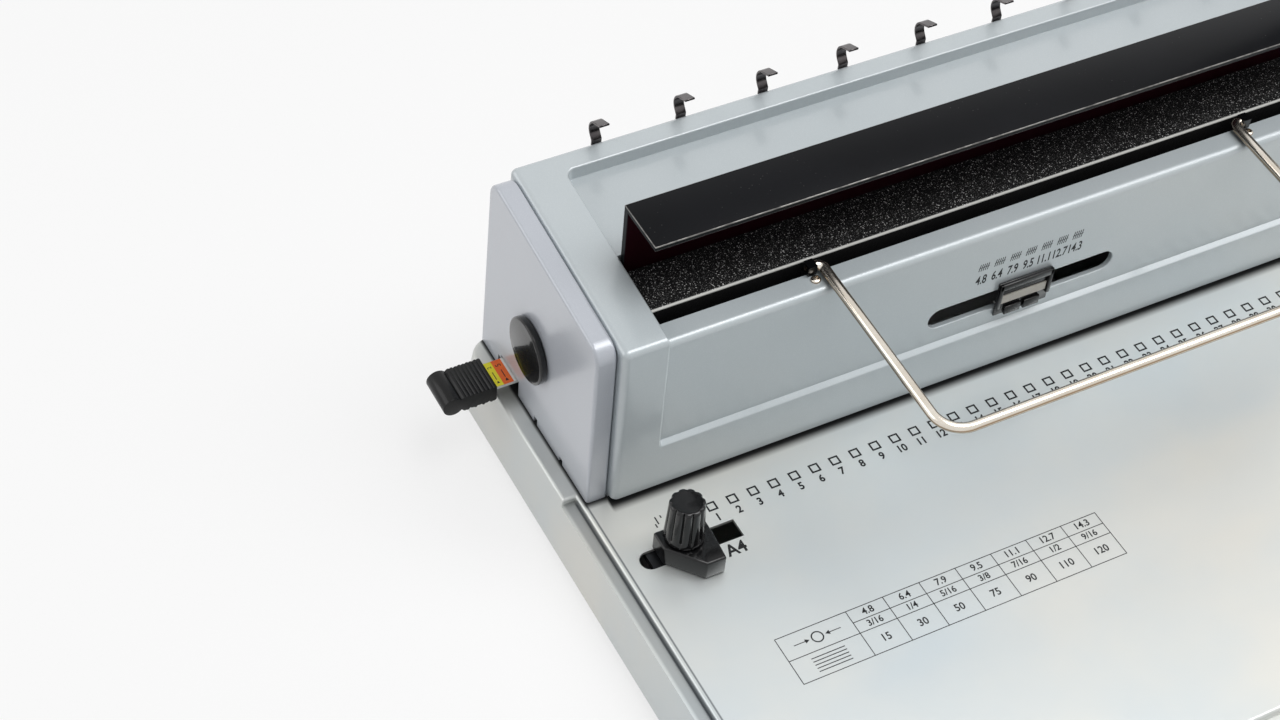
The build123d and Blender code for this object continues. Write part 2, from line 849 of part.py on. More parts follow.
def side_frame():
    """Right side frame: plate with a foot flange and a tongue that carries the die."""
    x0 = frame_inner
    x1 = frame_inner + frame_plate
    top = base_top + frame_height
    cut_y = frame_front + frame_top_cut
    outline = [(frame_front, base_top), (frame_front, top - frame_top_cut), (cut_y, top),
               (frame_back, top), (frame_back, base_top)]
    plate = along_x(outline, x0, x1)
    plate += block(x1, x1 + frame_foot, frame_front, frame_back, base_top, base_top + frame_plate)
    half = die_width / 2
    plate += block(x0, x1, shaft_y - half, shaft_y + half, base_top - frame_tongue_drop, base_top)
    plate -= rod_x(bush_radius + running_gap, x0 - overrun, x1 + overrun, shaft_y, shaft_z)
    for x, y in foot_screw_spots():
        plate -= rod_z(screw_radius + running_gap, base_top, base_top + overrun, x, y)
    for y, z in tie_spots():
        plate -= rod_x(screw_radius + running_gap, x0, x1, y, z)
    return plate


def side_frame_left():
    """Left side frame, with the window for the margin slider."""
    window = slider_window(-frame_inner - frame_plate - frame_foot - overrun, -frame_inner + overrun,
                           window_margin)
    lift = slider_height - window_margin - slider_thickness
    rest = block(-frame_inner - frame_plate - frame_foot - overrun, -frame_inner + overrun,
                 slider_front - overrun, slider_front + slider_width + overrun, 0, base_top + lift)
    return mirrored(side_frame()) - (window - rest)


def tie_spots():
    """Places of the tie bars in the side view."""
    return [(front_tie_y, base_top + front_tie_height), (rear_tie_y, base_top + rear_tie_height)]


def tie_bar(y, z):
    """Round bar between the side frames, with a tapped hole in each end."""
    bar = rod_x(tie_radius, -frame_inner, frame_inner, y, z)
    depth = screw_length + overrun
    hole = rod_x(screw_radius + running_gap, frame_inner - depth, frame_inner, y, z)
    return bar - hole - mirrored(hole)


def frame_screws():
    """Screws through the frame feet and into the tie bars."""
    pan_head = screw(screw_radius, screw_length, screw_head_radius, screw_head_height)
    screws = [Pos(x, y, base_top + frame_plate) * pan_head for x, y in foot_screw_spots()]
    for y, z in tie_spots():
        side = Pos(frame_inner + frame_plate, y, z) * Rot(0, 90, 0) * pan_head
        screws += [side, mirrored(side)]
    return group(screws)


def shaft_bush():
    """Flanged bush of the drive shaft in the right side frame."""
    bush = rod_x(bush_radius, frame_inner, frame_inner + frame_plate, shaft_y, shaft_z)
    bush += rod_x(bush_flange_radius, frame_inner - bush_flange, frame_inner, shaft_y, shaft_z)
    return bush - rod_x(shaft_radius + running_gap, frame_inner - overrun,
                        frame_inner + overrun, shaft_y, shaft_z)


def slide_guide():
    """Right guide block with upright slots for the punch bar and the closing bar."""
    x0 = frame_inner - guide_block_width
    low = base_top + guide_block_foot
    guide = block(x0, frame_inner, guide_block_front, guide_block_back, low, base_top + guide_block_top)
    slot_x = x0 + guide_slot_depth
    guide -= block(x0, slot_x, closer_web_front - slide_gap, closer_web_back + slide_gap,
                   low, base_top + guide_block_top)
    bar_half = punch_bar_width / 2 + slide_gap
    guide -= block(x0, slot_x, shaft_y - bar_half, shaft_y + bar_half, low, shaft_z)
    return guide - rod_x(bush_flange_radius + seat_gap, x0, frame_inner, shaft_y, shaft_z)


def hole_row():
    """Places of the punched holes along X."""
    middle = (hole_count - 1) / 2
    return [(index - middle) * hole_pitch for index in range(hole_count)]


def square_row(side, z0, z1):
    """Square prisms on the hole row."""
    half = side / 2
    return [block(x - half, x + half, shaft_y - half, shaft_y + half, z0, z1) for x in hole_row()]


def die_plate():
    """Hardened plate with the square die holes, flush with the tray."""
    half_y = die_width / 2
    half_x = frame_inner - running_gap
    low = base_top - die_thickness
    plate = block(-half_x, half_x, shaft_y - half_y, shaft_y + half_y, low, base_top)
    return plate - square_row(hole_side + 2 * slide_gap, low, base_top)


def guide_plate():
    """Plate above the paper throat that guides and strips the pins."""
    half_y = die_width / 2
    half_x = frame_inner - running_gap
    plate = block(-half_x, half_x, shaft_y - half_y, shaft_y + half_y, throat_roof, guide_top)
    return plate - square_row(hole_side + 2 * slide_gap, throat_roof, guide_top)


def throat_spacers():
    """Strips at both ends that set the height of the paper throat."""
    half_y = die_width / 2
    back = shaft_y + half_y
    return pair(block(spacer_inner, frame_inner - running_gap, roof_front, back, base_top, throat_roof))


def throat_guide():
    """Thin sheet that roofs the paper throat in front of the punches."""
    back = shaft_y - die_width / 2 - roof_back_gap
    half_x = frame_inner - running_gap
    return block(-half_x, half_x, roof_front, back, throat_roof, throat_roof + roof_sheet)


def punch_bar():
    """Bar that presses the pins down, with lugs for the return springs."""
    half_y = punch_bar_width / 2
    bar = block(-closer_half_length, closer_half_length, shaft_y - half_y, shaft_y + half_y,
                punch_bar_foot, punch_bar_top)
    lug_top = punch_bar_top - lug_drop
    half_lug = lug_width / 2
    for side in (-1, 1):
        x = side * lug_place
        bar += block(x - half_lug, x + half_lug, shaft_y + half_y, shaft_y + half_y + lug_length,
                     lug_top - lug_thickness, lug_top)
    return bar - square_row(hole_side + 2 * running_gap, punch_bar_foot, punch_bar_foot + pin_seat)


def punch_pins():
    """Square punch pins, seated in the bar."""
    return group(square_row(hole_side, pin_foot, punch_bar_foot + pin_seat))


def return_springs():
    """Sleeves of the springs that lift the punch bar to the rear tie bar."""
    low = punch_bar_top - lug_drop + seat_gap
    high = base_top + rear_tie_height - tie_radius - seat_gap
    outer = rod_z(spring_radius, low, high, lug_place, rear_tie_y)
    return pair(outer - rod_z(spring_radius - spring_wall, low, high, lug_place, rear_tie_y))


def cam_outline():
    """Half of the cam that presses the bar: an involute flank, so the bar falls evenly."""
    rise = punch_travel / math.radians(lever_turn)
    flank = []
    for index in range(cam_flank_points):
        turn = math.radians(lever_turn) * index / (cam_flank_points - 1)
        reach = cam_base_radius + rise * turn
        normal = -math.pi / 2 - turn
        flank.append((reach * math.cos(normal) + rise * math.sin(normal),
                      reach * math.sin(normal) - rise * math.cos(normal)))
    return flank


def punch_cam():
    """Right cam on the shaft, resting on its flat above the punch bar."""
    flank = cam_outline()
    radius = cam_base_radius
    foot = (0, -radius)
    crown_angle = math.radians(cam_crown_angle)
    crown = (radius * math.cos(crown_angle), radius * math.sin(crown_angle))
    half_angle = math.radians(cam_side_angle)
    side = (radius * math.cos(half_angle), radius * math.sin(half_angle))
    edges = [Line(foot, flank[0]), Spline(*flank), Line(flank[-1], crown), ThreePointArc(crown, side, foot)]
    face = make_face(edges)
    origin = (cam_station - cam_width / 2, shaft_y, shaft_z)
    cam = extrude(Plane(origin=origin, x_dir=(0, 1, 0), z_dir=(1, 0, 0)) * face, amount=cam_width)
    return cam - rod_x(shaft_radius + running_gap, 0, frame_inner, shaft_y, shaft_z)


def closer_crank():
    """Right crank arm with its pin, which carries the closing bar down."""
    x0 = crank_inner
    x1 = crank_inner + crank_thickness
    pin_y = shaft_y - crank_radius * math.cos(math.radians(crank_start))
    crank = rod_x(crank_hub_radius, x0, x1, shaft_y, shaft_z)
    crank += rod_x(crank_boss_radius, x0, x1, pin_y, crank_pin_z)
    middle = ((shaft_y + pin_y) / 2, (shaft_z + crank_pin_z) / 2)
    web = Box(x1 - x0, crank_radius, 2 * crank_boss_radius)
    crank += Pos((x0 + x1) / 2, middle[0], middle[1]) * Rot(-crank_start, 0, 0) * web
    crank += rod_x(crank_pin_radius, x1, x0 + crank_pin_reach, pin_y, crank_pin_z)
    return crank - rod_x(shaft_radius + running_gap, 0, frame_inner, shaft_y, shaft_z)


def main_shaft():
    """Drive shaft through both side frames and end caps."""
    right = cap_outer + disc_thickness / 2
    return rod_x(shaft_radius, -cap_outer - seat_gap, right + hub_length / 2, shaft_y, shaft_z)


def shaft_end_cap():
    """Round cap on the left end of the shaft."""
    x1 = -cap_outer - seat_gap
    disc = rod_x(disc_radius, x1 - disc_thickness, x1, shaft_y, shaft_z)
    return fillet(edges_at(disc, Axis.X, x1 - disc_thickness), disc_round)


def handle_hub():
    """Boss that carries the arm on the shaft."""
    x0 = cap_outer + disc_thickness / 2
    hub = rod_x(hub_radius, x0, x0 + hub_length, shaft_y, shaft_z)
    hub = fillet(hub.edges().filter_by(GeomType.CIRCLE), hub_round)
    hub -= arm_blank(0)
    hub -= rod_x(shaft_radius + running_gap, x0 - overrun, x0 + hub_length / 2, shaft_y, shaft_z)
    return hub - rod_x(bolt_radius + running_gap, x0, x0 + hub_length + overrun, shaft_y, shaft_z)


def arm_blank(grow):
    """Flat tapered arm that leans back from the shaft."""
    foot_half = arm_foot_width / 2
    tip_half = arm_tip_width / 2
    outline = [(-foot_half, 0), (-tip_half, arm_length), (tip_half, arm_length), (foot_half, 0)]
    face = make_face(Polyline(*outline, close=True)) + Circle(foot_half)
    low = arm_offset - arm_thickness / 2 - grow
    blank = extrude(Plane.YZ.offset(low) * face, amount=arm_thickness + 2 * grow)
    return Pos(0, shaft_y, shaft_z) * Rot(-arm_lean, 0, 0) * blank


def handle_arm():
    """Arm of the lever, bored for the shaft bolt."""
    arm = arm_blank(0)
    flats = edges_at(arm, Axis.X, arm_offset - arm_thickness / 2)
    flats += edges_at(arm, Axis.X, arm_offset + arm_thickness / 2)
    arm = fillet(flats, arm_round)
    arm -= rod_x(bolt_radius + running_gap, cap_outer, arm_offset + hub_length, shaft_y, shaft_z)
    shaft_end = cap_outer + disc_thickness / 2 + hub_length / 2
    return arm - rod_x(shaft_radius + running_gap, cap_outer, shaft_end, shaft_y, shaft_z)


def handle_grip():
    """Round grip over the end of the arm."""
    low = arm_length + grip_over_tip - grip_length
    grip = Pos(arm_offset, 0, low + grip_length / 2) * Cylinder(grip_radius, grip_length)
    grip = fillet(grip.edges().filter_by(GeomType.CIRCLE), grip_round)
    grip = Pos(0, shaft_y, shaft_z) * Rot(-arm_lean, 0, 0) * grip
    return grip - handle_arm()


def handle_bolt():
    """Socket head bolt that clamps the lever to the shaft."""
    x1 = cap_outer + disc_thickness / 2 + hub_length
    shaft_end = cap_outer + disc_thickness / 2 + hub_length / 2
    head = rod_x(bolt_head_radius, x1, x1 + bolt_head_height, shaft_y, shaft_z)
    head_end = x1 + bolt_head_height
    head -= rod_x(socket_radius, head_end - socket_depth, head_end, shaft_y, shaft_z)
    return head + rod_x(bolt_radius, shaft_end, x1, shaft_y, shaft_z)


def closing_bar():
    """Angle bar whose top flange presses the wire loops shut on the platform."""
    half = closer_half_length
    web = block(-half, half, closer_web_front, closer_web_back, closer_foot, closer_top)
    flange_front = closer_web_back - closer_depth
    bar = web + block(-half, half, flange_front, closer_web_back, closer_top - closer_flange, closer_top)
    notch = block(notch_place - notch_half_width, notch_place + notch_half_width,
                  closer_web_front, closer_web_back, closer_foot, closer_foot + notch_height)
    return bar - notch - mirrored(notch)


def closer_yoke():
    """Right fork that the crank pin carries, with a flange on the closing bar."""
    slot_half = crank_pin_radius + crank_pin_gap
    low = crank_pin_z - slot_half - yoke_wall
    high = crank_pin_z + slot_half + yoke_wall
    slot_front = shaft_y - crank_radius - slot_half
    plate = block(yoke_inner, yoke_inner + yoke_thickness, slot_front - yoke_front, yoke_back_y, low, high)
    plate -= block(yoke_inner, yoke_inner + yoke_thickness, slot_front, yoke_back_y,
                   crank_pin_z - slot_half, crank_pin_z + slot_half)
    x1 = yoke_inner + yoke_thickness
    flange_front = closer_web_front - closer_web
    flange = block(yoke_inner, x1 + yoke_flange_width, flange_front, closer_web_front, low,
                   low + yoke_flange_height)
    flange -= block(yoke_inner, yoke_inner + yoke_thickness, flange_front, closer_web_front,
                    crank_pin_z - slot_half, crank_pin_z + slot_half)
    yoke = plate + flange
    for z in yoke_screw_heights():
        hole = Pos(yoke_screw_x(), closer_web_front, z) * Rot(90, 0, 0)
        yoke -= hole * Cylinder(screw_radius + running_gap, 2 * closer_web)
    return yoke


def yoke_screw_x():
    """Distance of the yoke screws from the middle of the machine."""
    return yoke_inner + yoke_thickness + yoke_flange_width / 2


def yoke_foot():
    """Height of the underside of the yokes."""
    return crank_pin_z - crank_pin_radius - crank_pin_gap - yoke_wall


def yoke_screw_heights():
    """Heights of the two screws of a yoke."""
    return [yoke_foot() + yoke_flange_height * share for share in yoke_screw_shares]


def closer_stop_tab():
    """Angle on the closing bar whose toe comes down on the steps of the stop bar."""
    half = tab_width / 2
    low = yoke_foot()
    plate = block(tab_place - half, tab_place + half, closer_web_front - closer_web, closer_web_front,
                  low, low + tab_height)
    toe = block(tab_place - half, tab_place + half, closer_web_front - tab_toe, closer_web_front,
                low, low + closer_web)
    hole = Pos(tab_place, closer_web_front, yoke_screw_heights()[-1]) * Rot(90, 0, 0)
    return plate + toe - hole * Cylinder(screw_radius + running_gap, 2 * closer_web)


def yoke_screws():
    """Screws through the yoke flanges and the stop tab."""
    pan_head = screw(screw_radius, closer_web, screw_head_radius, screw_head_height)
    front = closer_web_front - closer_web
    screws = [Pos(tab_place, front, yoke_screw_heights()[-1]) * Rot(90, 0, 0) * pan_head]
    for z in yoke_screw_heights():
        side = Pos(yoke_screw_x(), front, z) * Rot(90, 0, 0) * pan_head
        screws += [side, mirrored(side)]
    return group(screws)


def closer_platform():
    """Long flat anvil with a turned down front lip."""
    half = panel_half_length - platform_end_gap
    back = closer_web_front - platform_web_gap
    plate = block(-half, half, platform_front, back, platform_top - platform_thickness, platform_top)
    lip_back = platform_front + platform_thickness / 2
    return plate + block(-half, half, platform_front, lip_back, platform_top - platform_lip, platform_top)


def platform_brackets():
    """Angle brackets that carry the platform on the side frames."""
    top = platform_top - platform_thickness
    front = platform_front + platform_thickness
    x0 = frame_inner - guide_block_width
    bracket = block(x0, frame_inner, front, front + bracket_depth, top - bracket_thickness, top)
    bracket += block(frame_inner - bracket_thickness, frame_inner, front, front + bracket_depth,
                     top - bracket_height, top)
    lip_room = block(panel_half_length - seat_gap, frame_inner, front, front + bracket_depth,
                     shelf - cover_wall - seat_gap, top)
    return pair(bracket - lip_room)


def slider_slot(x, z0, z1):
    """Slanted slot in the slider that moves a pin of the back stop."""
    angle = math.degrees(math.atan(slider_ratio))
    radius = stop_pin_radius + slide_gap
    length = slider_in + slider_out + 4 * radius
    middle_x = x + (slider_out - slider_in) / 2
    middle_y = stop_pin_y() - slider_ratio * (middle_x - x)
    face = SlotOverall(length, 2 * radius)
    return extrude(Plane.XY.offset(z0) * Pos(middle_x, middle_y) * Rot(0, 0, -angle) * face, amount=z1 - z0)


def stop_pin_y():
    """Place of the back stop pins across the machine."""
    return slider_front + slider_width / 2


def margin_slider():
    """Flat tongue with slanted slots, pulled at the left end."""
    x0 = -cap_outer - label_margin - margin_tongue_seat
    z1 = slider_z + slider_thickness
    tongue = block(x0, slider_right, slider_front, slider_front + slider_width, slider_z, z1)
    for x in stop_pin_places:
        tongue -= slider_slot(x, slider_z, z1)
    return tongue


def margin_grip():
    """Ribbed grip on the tongue, with a round bead at its end."""
    x1 = -cap_outer - label_margin
    x0 = x1 - margin_grip_length
    low = base_top + margin_grip_lift
    high = low + margin_grip_thickness
    y1 = margin_grip_front + margin_grip_width
    bead_x = x0 + margin_bead_radius
    body = block(bead_x, x1, margin_grip_front, y1, low, high - margin_rib_depth)
    rib_pitch = (x1 - bead_x - margin_bead_radius) / margin_rib_count
    for index in range(margin_rib_count):
        rib_x = x1 - index * rib_pitch
        body += block(rib_x - rib_pitch / 2, rib_x, margin_grip_front, y1, low, high)
    middle = ((margin_grip_front + y1) / 2, low + margin_bead_radius)
    bead = Cylinder(margin_bead_radius, margin_grip_width)
    bead = Pos(bead_x, middle[0], middle[1]) * Rot(90, 0, 0) * bead
    z1 = slider_z + slider_thickness + running_gap
    seat = block(x1 - margin_tongue_seat - running_gap, x1, slider_front - running_gap,
                 slider_front + slider_width + running_gap, slider_z - running_gap, z1)
    return body + bead - seat


def slider_guides():
    """C-shaped guides behind the slider, open at the front."""
    z0 = slider_z - guide_c_arm - slide_gap
    z1 = slider_z + slider_thickness + guide_c_arm + slide_gap
    y1 = slider_front + slider_width + slide_gap
    outer = [(slider_front, z0), (slider_front, z1), (guide_c_back, z1), (guide_c_back, base_top),
             (y1 + 2 * guide_c_arm, base_top), (y1 + 2 * guide_c_arm, z0)]
    guides = []
    for x in guide_c_places:
        half = guide_c_width / 2
        guide = along_x(outer, x - half, x + half)
        groove = block(x - half, x + half, slider_front, y1, slider_z - slide_gap,
                       slider_z + slider_thickness + slide_gap)
        guides.append(guide - groove)
    return group(guides)


def paper_back_stop():
    """Thin plate that the sheets are pushed against, with pins for the slider."""
    low = base_top + seat_gap
    stop = block(-stop_half_length, stop_half_length, stop_front, stop_front + stop_depth,
                 low, low + stop_thickness)
    for x in stop_pin_places:
        pin_top = slider_z + 2 * slider_thickness
        stop += rod_z(stop_pin_radius, low + stop_thickness, pin_top, x, stop_pin_y())
    return stop


def edge_guide_outline():
    """Plan view of the edge guide, with its paper face on the right."""
    face_x = -sheet_length / 2
    width = edge_block_width
    left = face_x - width
    back = edge_stud_y + edge_back_reach
    front = back - edge_block_depth
    return [(left, back), (left, back - width * edge_left_share), (face_x - width * edge_nose_share, front),
            (face_x - edge_toe, front), (face_x, back - width * edge_left_share), (face_x, back)]


def edge_guide():
    """Stop block for the sheet edge, with a key in the slot."""
    low = base_top + edge_block_lift
    high = base_top + edge_block_lift + edge_block_height
    guide = upright(edge_guide_outline(), low, high)
    guide = fillet(edges_at(guide, Axis.Z, high), edge_block_round)
    key = SlotOverall(edge_key_length, guide_slot_width - 2 * edge_key_gap)
    key_y = guide_slot_front + guide_slot_width / 2
    key_foot = Plane.XY.offset(base_top - base_sheet) * Pos(edge_stud_x, key_y)
    guide += extrude(key_foot * key, amount=base_sheet + edge_block_lift)
    return guide - rod_z(stud_radius + running_gap, base_top - overrun, high, edge_stud_x, edge_stud_y)


def guide_clamp_plate():
    """Plate under the tray that the stud draws up."""
    high = base_top - base_sheet - seat_gap
    half_x = clamp_plate_length / 2
    half_y = clamp_plate_width / 2
    plate = block(edge_stud_x - half_x, edge_stud_x + half_x, edge_stud_y - half_y, edge_stud_y + half_y,
                  high - clamp_plate_thickness, high)
    return plate - rod_z(stud_radius, 0, base_top, edge_stud_x, edge_stud_y)


def guide_stud():
    """Threaded stud through the guide into the knob."""
    low = base_top - base_sheet - seat_gap - clamp_plate_thickness
    return rod_z(stud_radius, low, low + stud_reach, edge_stud_x, edge_stud_y)


def guide_knob():
    """Tapered fluted knob on the stud."""
    low = base_top + edge_block_lift + edge_block_height + slide_gap
    high = low + knob_height
    knob = Pos(0, 0, low + knob_height / 2) * Cone(knob_foot_radius, knob_top_radius, knob_height)
    knob = fillet(edges_at(knob, Axis.Z, high), knob_round)
    lean = math.degrees(math.atan((knob_foot_radius - knob_top_radius) / knob_height))
    for index in range(knob_flutes):
        turn = 360 * index / knob_flutes
        flute = Pos(knob_foot_radius + knob_flute_radius / 2, 0, low) * Rot(0, -lean, 0)
        flute *= Pos(0, 0, knob_height / 2)
        knob -= Rot(0, 0, turn) * flute * Cylinder(knob_flute_radius, 2 * knob_height)
    stud_top = base_top - base_sheet - seat_gap - clamp_plate_thickness + stud_reach
    knob -= rod_z(stud_radius + running_gap, low, stud_top + slide_gap, 0, 0)
    return Pos(edge_stud_x, edge_stud_y, 0) * knob


def selector_z():
    """Height of the middle of the selector slot."""
    return base_top + selector_slot_foot + selector_slot_height / 2


def selector_knob():
    """Sliding knob with a sunk window and a stem through the slot."""
    half = selector_length / 2
    back = panel_face - seat_gap
    front = panel_face - selector_reach
    low = selector_z() - selector_height / 2
    knob = block(selector_x - half, selector_x + half, front, back, low, low + selector_height)
    knob = fillet(edges_at(knob, Axis.Y, front), selector_round)
    window_half = selector_window_length / 2
    window_low = selector_z() - selector_window_height / 2
    knob -= block(selector_x - window_half, selector_x + window_half, front, front + selector_window_depth,
                  window_low, window_low + selector_window_height)
    stem_half = selector_stem_length / 2
    stem_z = selector_slot_height / 2 - slide_gap
    stem_back = panel_face + cover_wall + seat_gap
    knob += block(selector_x - stem_half, selector_x + stem_half, back, stem_back,
                  selector_z() - stem_z, selector_z() + stem_z)
    return knob


def size_stop_bar():
    """Sliding bar behind the selector, with one step for each wire size."""
    front = panel_face + cover_wall + seat_gap
    half = selector_stem_length / 2
    low = throat_roof + roof_sheet + seat_gap
    high = low + stop_bar_height
    hanger_top = selector_z() + half
    hanger = block(selector_x - half, selector_x + half, front, front + stop_plate, low, hanger_top)
    foot = block(selector_x - half, selector_x + half, front, stop_bar_front + stop_bar_width, low, high)
    steps = 2 * selector_steps + 1
    left = tab_place - selector_step * steps / 2
    bar = block(left, stop_bar_right, stop_bar_front, stop_bar_front + stop_bar_width, low, high)
    lowest_toe = yoke_foot() - closer_travel
    for index in range(steps):
        x0 = left + index * selector_step
        top = lowest_toe - stop_clearance - index * stop_step_rise
        bar += block(x0, x0 + selector_step, stop_bar_front, stop_bar_front + stop_bar_width, low, top)
    return hanger + foot + bar


def stop_bar_clips():
    """Bridges over the stop bar, fixed to the throat roof."""
    low = throat_roof + roof_sheet
    top = low + seat_gap + stop_bar_height + slide_gap
    clips = []
    for x in clip_places:
        half = clip_width / 2
        y0 = stop_bar_front - slide_gap
        y1 = stop_bar_front + stop_bar_width + slide_gap
        clip = block(x - half, x + half, y0 - clip_wall, y1 + clip_wall, low, top + clip_wall)
        clips.append(clip - block(x - half, x + half, y0, y1, low, top))
    return group(clips)


def support_frame():
    """Bent steel rod that holds the sheets in front of the closing bar."""
    pivot_z = base_top + rod_pivot_height
    front_z = pivot_z - rod_front_drop
    points = [(-rod_shoulder, rod_pivot_y, pivot_z), (-rod_half_width, rod_pivot_y, pivot_z),
              (-rod_half_width, rod_front_y, front_z), (rod_half_width, rod_front_y, front_z),
              (rod_half_width, rod_pivot_y, pivot_z), (rod_shoulder, rod_pivot_y, pivot_z)]
    bends = [rod_journal_bend, rod_corner_radius, rod_corner_radius, rod_journal_bend]
    path = FilletPolyline(*points, radius=bends)
    section = Plane(origin=points[0], z_dir=(1, 0, 0)) * Circle(rod_radius)
    rod = sweep(section, path=path)
    for x0, x1 in ((-rod_journal_end, -rod_half_width), (rod_half_width, rod_journal_end)):
        rod += rod_x(rod_journal_radius, x0, x1, rod_pivot_y, pivot_z)
    return rod


def support_clip():
    """Right hinge block of the support frame, with a tongue under the shelf."""
    pivot_z = base_top + rod_pivot_height
    x0 = clip_tongue_inner
    x1 = clip_tongue_outer
    ear = block(clip_block_inner, clip_block_outer, clip_block_front, clip_block_back, shelf + seat_gap,
                base_top + clip_block_top)
    tongue_top = shelf - cover_wall - seat_gap
    tongue_low = tongue_top - clip_tongue_thickness
    stem_front = opening_front + seat_gap
    ear += block(x0, x1, stem_front, clip_block_back, tongue_low, shelf + seat_gap)
    ear += block(x0, x1, stem_front - clip_tongue, clip_block_back, tongue_low, tongue_top)
    ear -= rod_z(clip_screw_radius + running_gap, tongue_low, tongue_top, clip_screw_x, clip_screw_y)
    return ear - rod_x(rod_journal_radius + running_gap, clip_block_inner, clip_block_outer, rod_pivot_y,
                       pivot_z)


def support_clip_screw():
    """Right screw that holds a hinge block under the shelf."""
    pan_head = screw(clip_screw_radius, clip_screw_length, clip_screw_head_radius, clip_screw_head_height)
    return Pos(clip_screw_x, clip_screw_y, shelf) * pan_head


def all_pieces():
    """Every node of the machine by name."""
    return {
        "base_pan": base_pan(),
        "bottom_plate": bottom_plate(),
        "rubber_feet": group([Pos(x, y, 0) * rubber_foot() for x, y in foot_spots()]),
        "foot_screws": group([Pos(x, y, 0) * foot_screw() for x, y in foot_spots()]),
        "base_posts": base_posts(),
        "chip_drawer": chip_drawer(),
        "drawer_rails": drawer_rails(),
        "main_cover": main_cover(),
        "left_end_cap": left_end_cap(),
        "right_end_cap": end_cap(),
        "hook_strip": hook_strip(),
        "hook_rivets": hook_rivets(),
        "side_frame_left": side_frame_left(),
        "side_frame_right": side_frame(),
        "front_tie_bar": tie_bar(*tie_spots()[0]),
        "rear_tie_bar": tie_bar(*tie_spots()[1]),
        "frame_screws": frame_screws(),
        "shaft_bushes": pair(shaft_bush()),
        "slide_guides": pair(slide_guide()),
        "die_plate": die_plate(),
        "guide_plate": guide_plate(),
        "throat_spacers": throat_spacers(),
        "throat_guide": throat_guide(),
        "punch_bar": punch_bar(),
        "punch_pins": punch_pins(),
        "return_springs": return_springs(),
        "main_shaft": main_shaft(),
        "punch_cams": pair(punch_cam()),
        "closer_cranks": pair(closer_crank()),
        "shaft_end_cap": shaft_end_cap(),
        "handle_hub": handle_hub(),
        "handle_arm": handle_arm(),
        "handle_grip": handle_grip(),
        "handle_bolt": handle_bolt(),
        "closing_bar": closing_bar(),
        "closer_yokes": pair(closer_yoke()),
        "closer_stop_tab": closer_stop_tab(),
        "yoke_screws": yoke_screws(),
        "closer_platform": closer_platform(),
        "platform_brackets": platform_brackets(),
        "margin_slider": margin_slider(),
        "margin_grip": margin_grip(),
        "slider_guides": slider_guides(),
        "paper_back_stop": paper_back_stop(),
        "edge_guide": edge_guide(),
        "guide_clamp_plate": guide_clamp_plate(),
        "guide_stud": guide_stud(),
        "guide_knob": guide_knob(),
        "selector_knob": selector_knob(),
        "size_stop_bar": size_stop_bar(),
        "stop_bar_clips": stop_bar_clips(),
        "support_frame": support_frame(),
        "support_clips": pair(support_clip()),
        "support_clip_screws": pair(support_clip_screw()),
    }


for node_name, piece in all_pieces().items():
    export_step(piece, os.path.join("parts", node_name + ".step"))
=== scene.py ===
"""Looks of a hand operated wire binding machine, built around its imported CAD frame.

Lengths are in metres, in the frame of the CAD model: X along the hole row, Y to the back, Z up.
"""

from __future__ import annotations

import logging
import math
from dataclasses import dataclass
from enum import Enum
from typing import Any, Mapping, Sequence

import bmesh
import bpy
from mathutils import Euler, Matrix, Vector

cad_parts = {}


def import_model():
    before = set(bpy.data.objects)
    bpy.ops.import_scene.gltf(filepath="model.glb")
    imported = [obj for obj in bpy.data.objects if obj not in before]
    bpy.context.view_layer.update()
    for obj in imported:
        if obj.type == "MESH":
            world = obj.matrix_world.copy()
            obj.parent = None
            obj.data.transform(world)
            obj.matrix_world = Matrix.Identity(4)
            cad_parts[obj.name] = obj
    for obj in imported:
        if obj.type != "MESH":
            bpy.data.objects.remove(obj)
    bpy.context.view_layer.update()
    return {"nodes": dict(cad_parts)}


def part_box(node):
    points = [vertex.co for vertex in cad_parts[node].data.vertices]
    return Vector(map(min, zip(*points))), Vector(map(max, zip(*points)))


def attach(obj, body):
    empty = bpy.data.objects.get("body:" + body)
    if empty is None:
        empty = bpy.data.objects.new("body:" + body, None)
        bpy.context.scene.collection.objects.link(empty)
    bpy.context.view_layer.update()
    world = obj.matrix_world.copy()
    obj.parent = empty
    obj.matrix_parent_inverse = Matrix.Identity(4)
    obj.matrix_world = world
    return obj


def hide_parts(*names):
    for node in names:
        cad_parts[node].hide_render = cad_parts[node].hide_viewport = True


LOG = logging.getLogger("binding_machine")
PHOTO_WIDTH = 1280

Colour = tuple[float, float, float]
Point = tuple[float, float, float]
Pair = tuple[float, float]

HOLE_PITCH = 0.0254 / 3
WIRE_SIZES = ("4.8", "6.4", "7.9", "9.5", "11.1", "12.7", "14.3")
PANEL_FACE = 0.045
BAR_HALF = 0.1527
BAR_FRONT = 0.0603
BAR_BACK = 0.0824
BAR_LOW_EDGE = 0.1305
BAR_TOP = 0.1325


def tone(red: int, green: int, blue: int) -> Colour:
    """Scene-linear colour of a display colour.

    Args:
        red: Red level from 0 to 255.
        green: Green level from 0 to 255.
        blue: Blue level from 0 to 255.

    Returns:
        The three levels from 0 to 1, as light adds up.
    """
    full, knee, slope, offset, power = 255, 0.04045, 12.92, 0.055, 2.4
    levels = (channel / full for channel in (red, green, blue))
    return tuple(v / slope if v <= knee else ((v + offset) / (1 + offset)) ** power for v in levels)


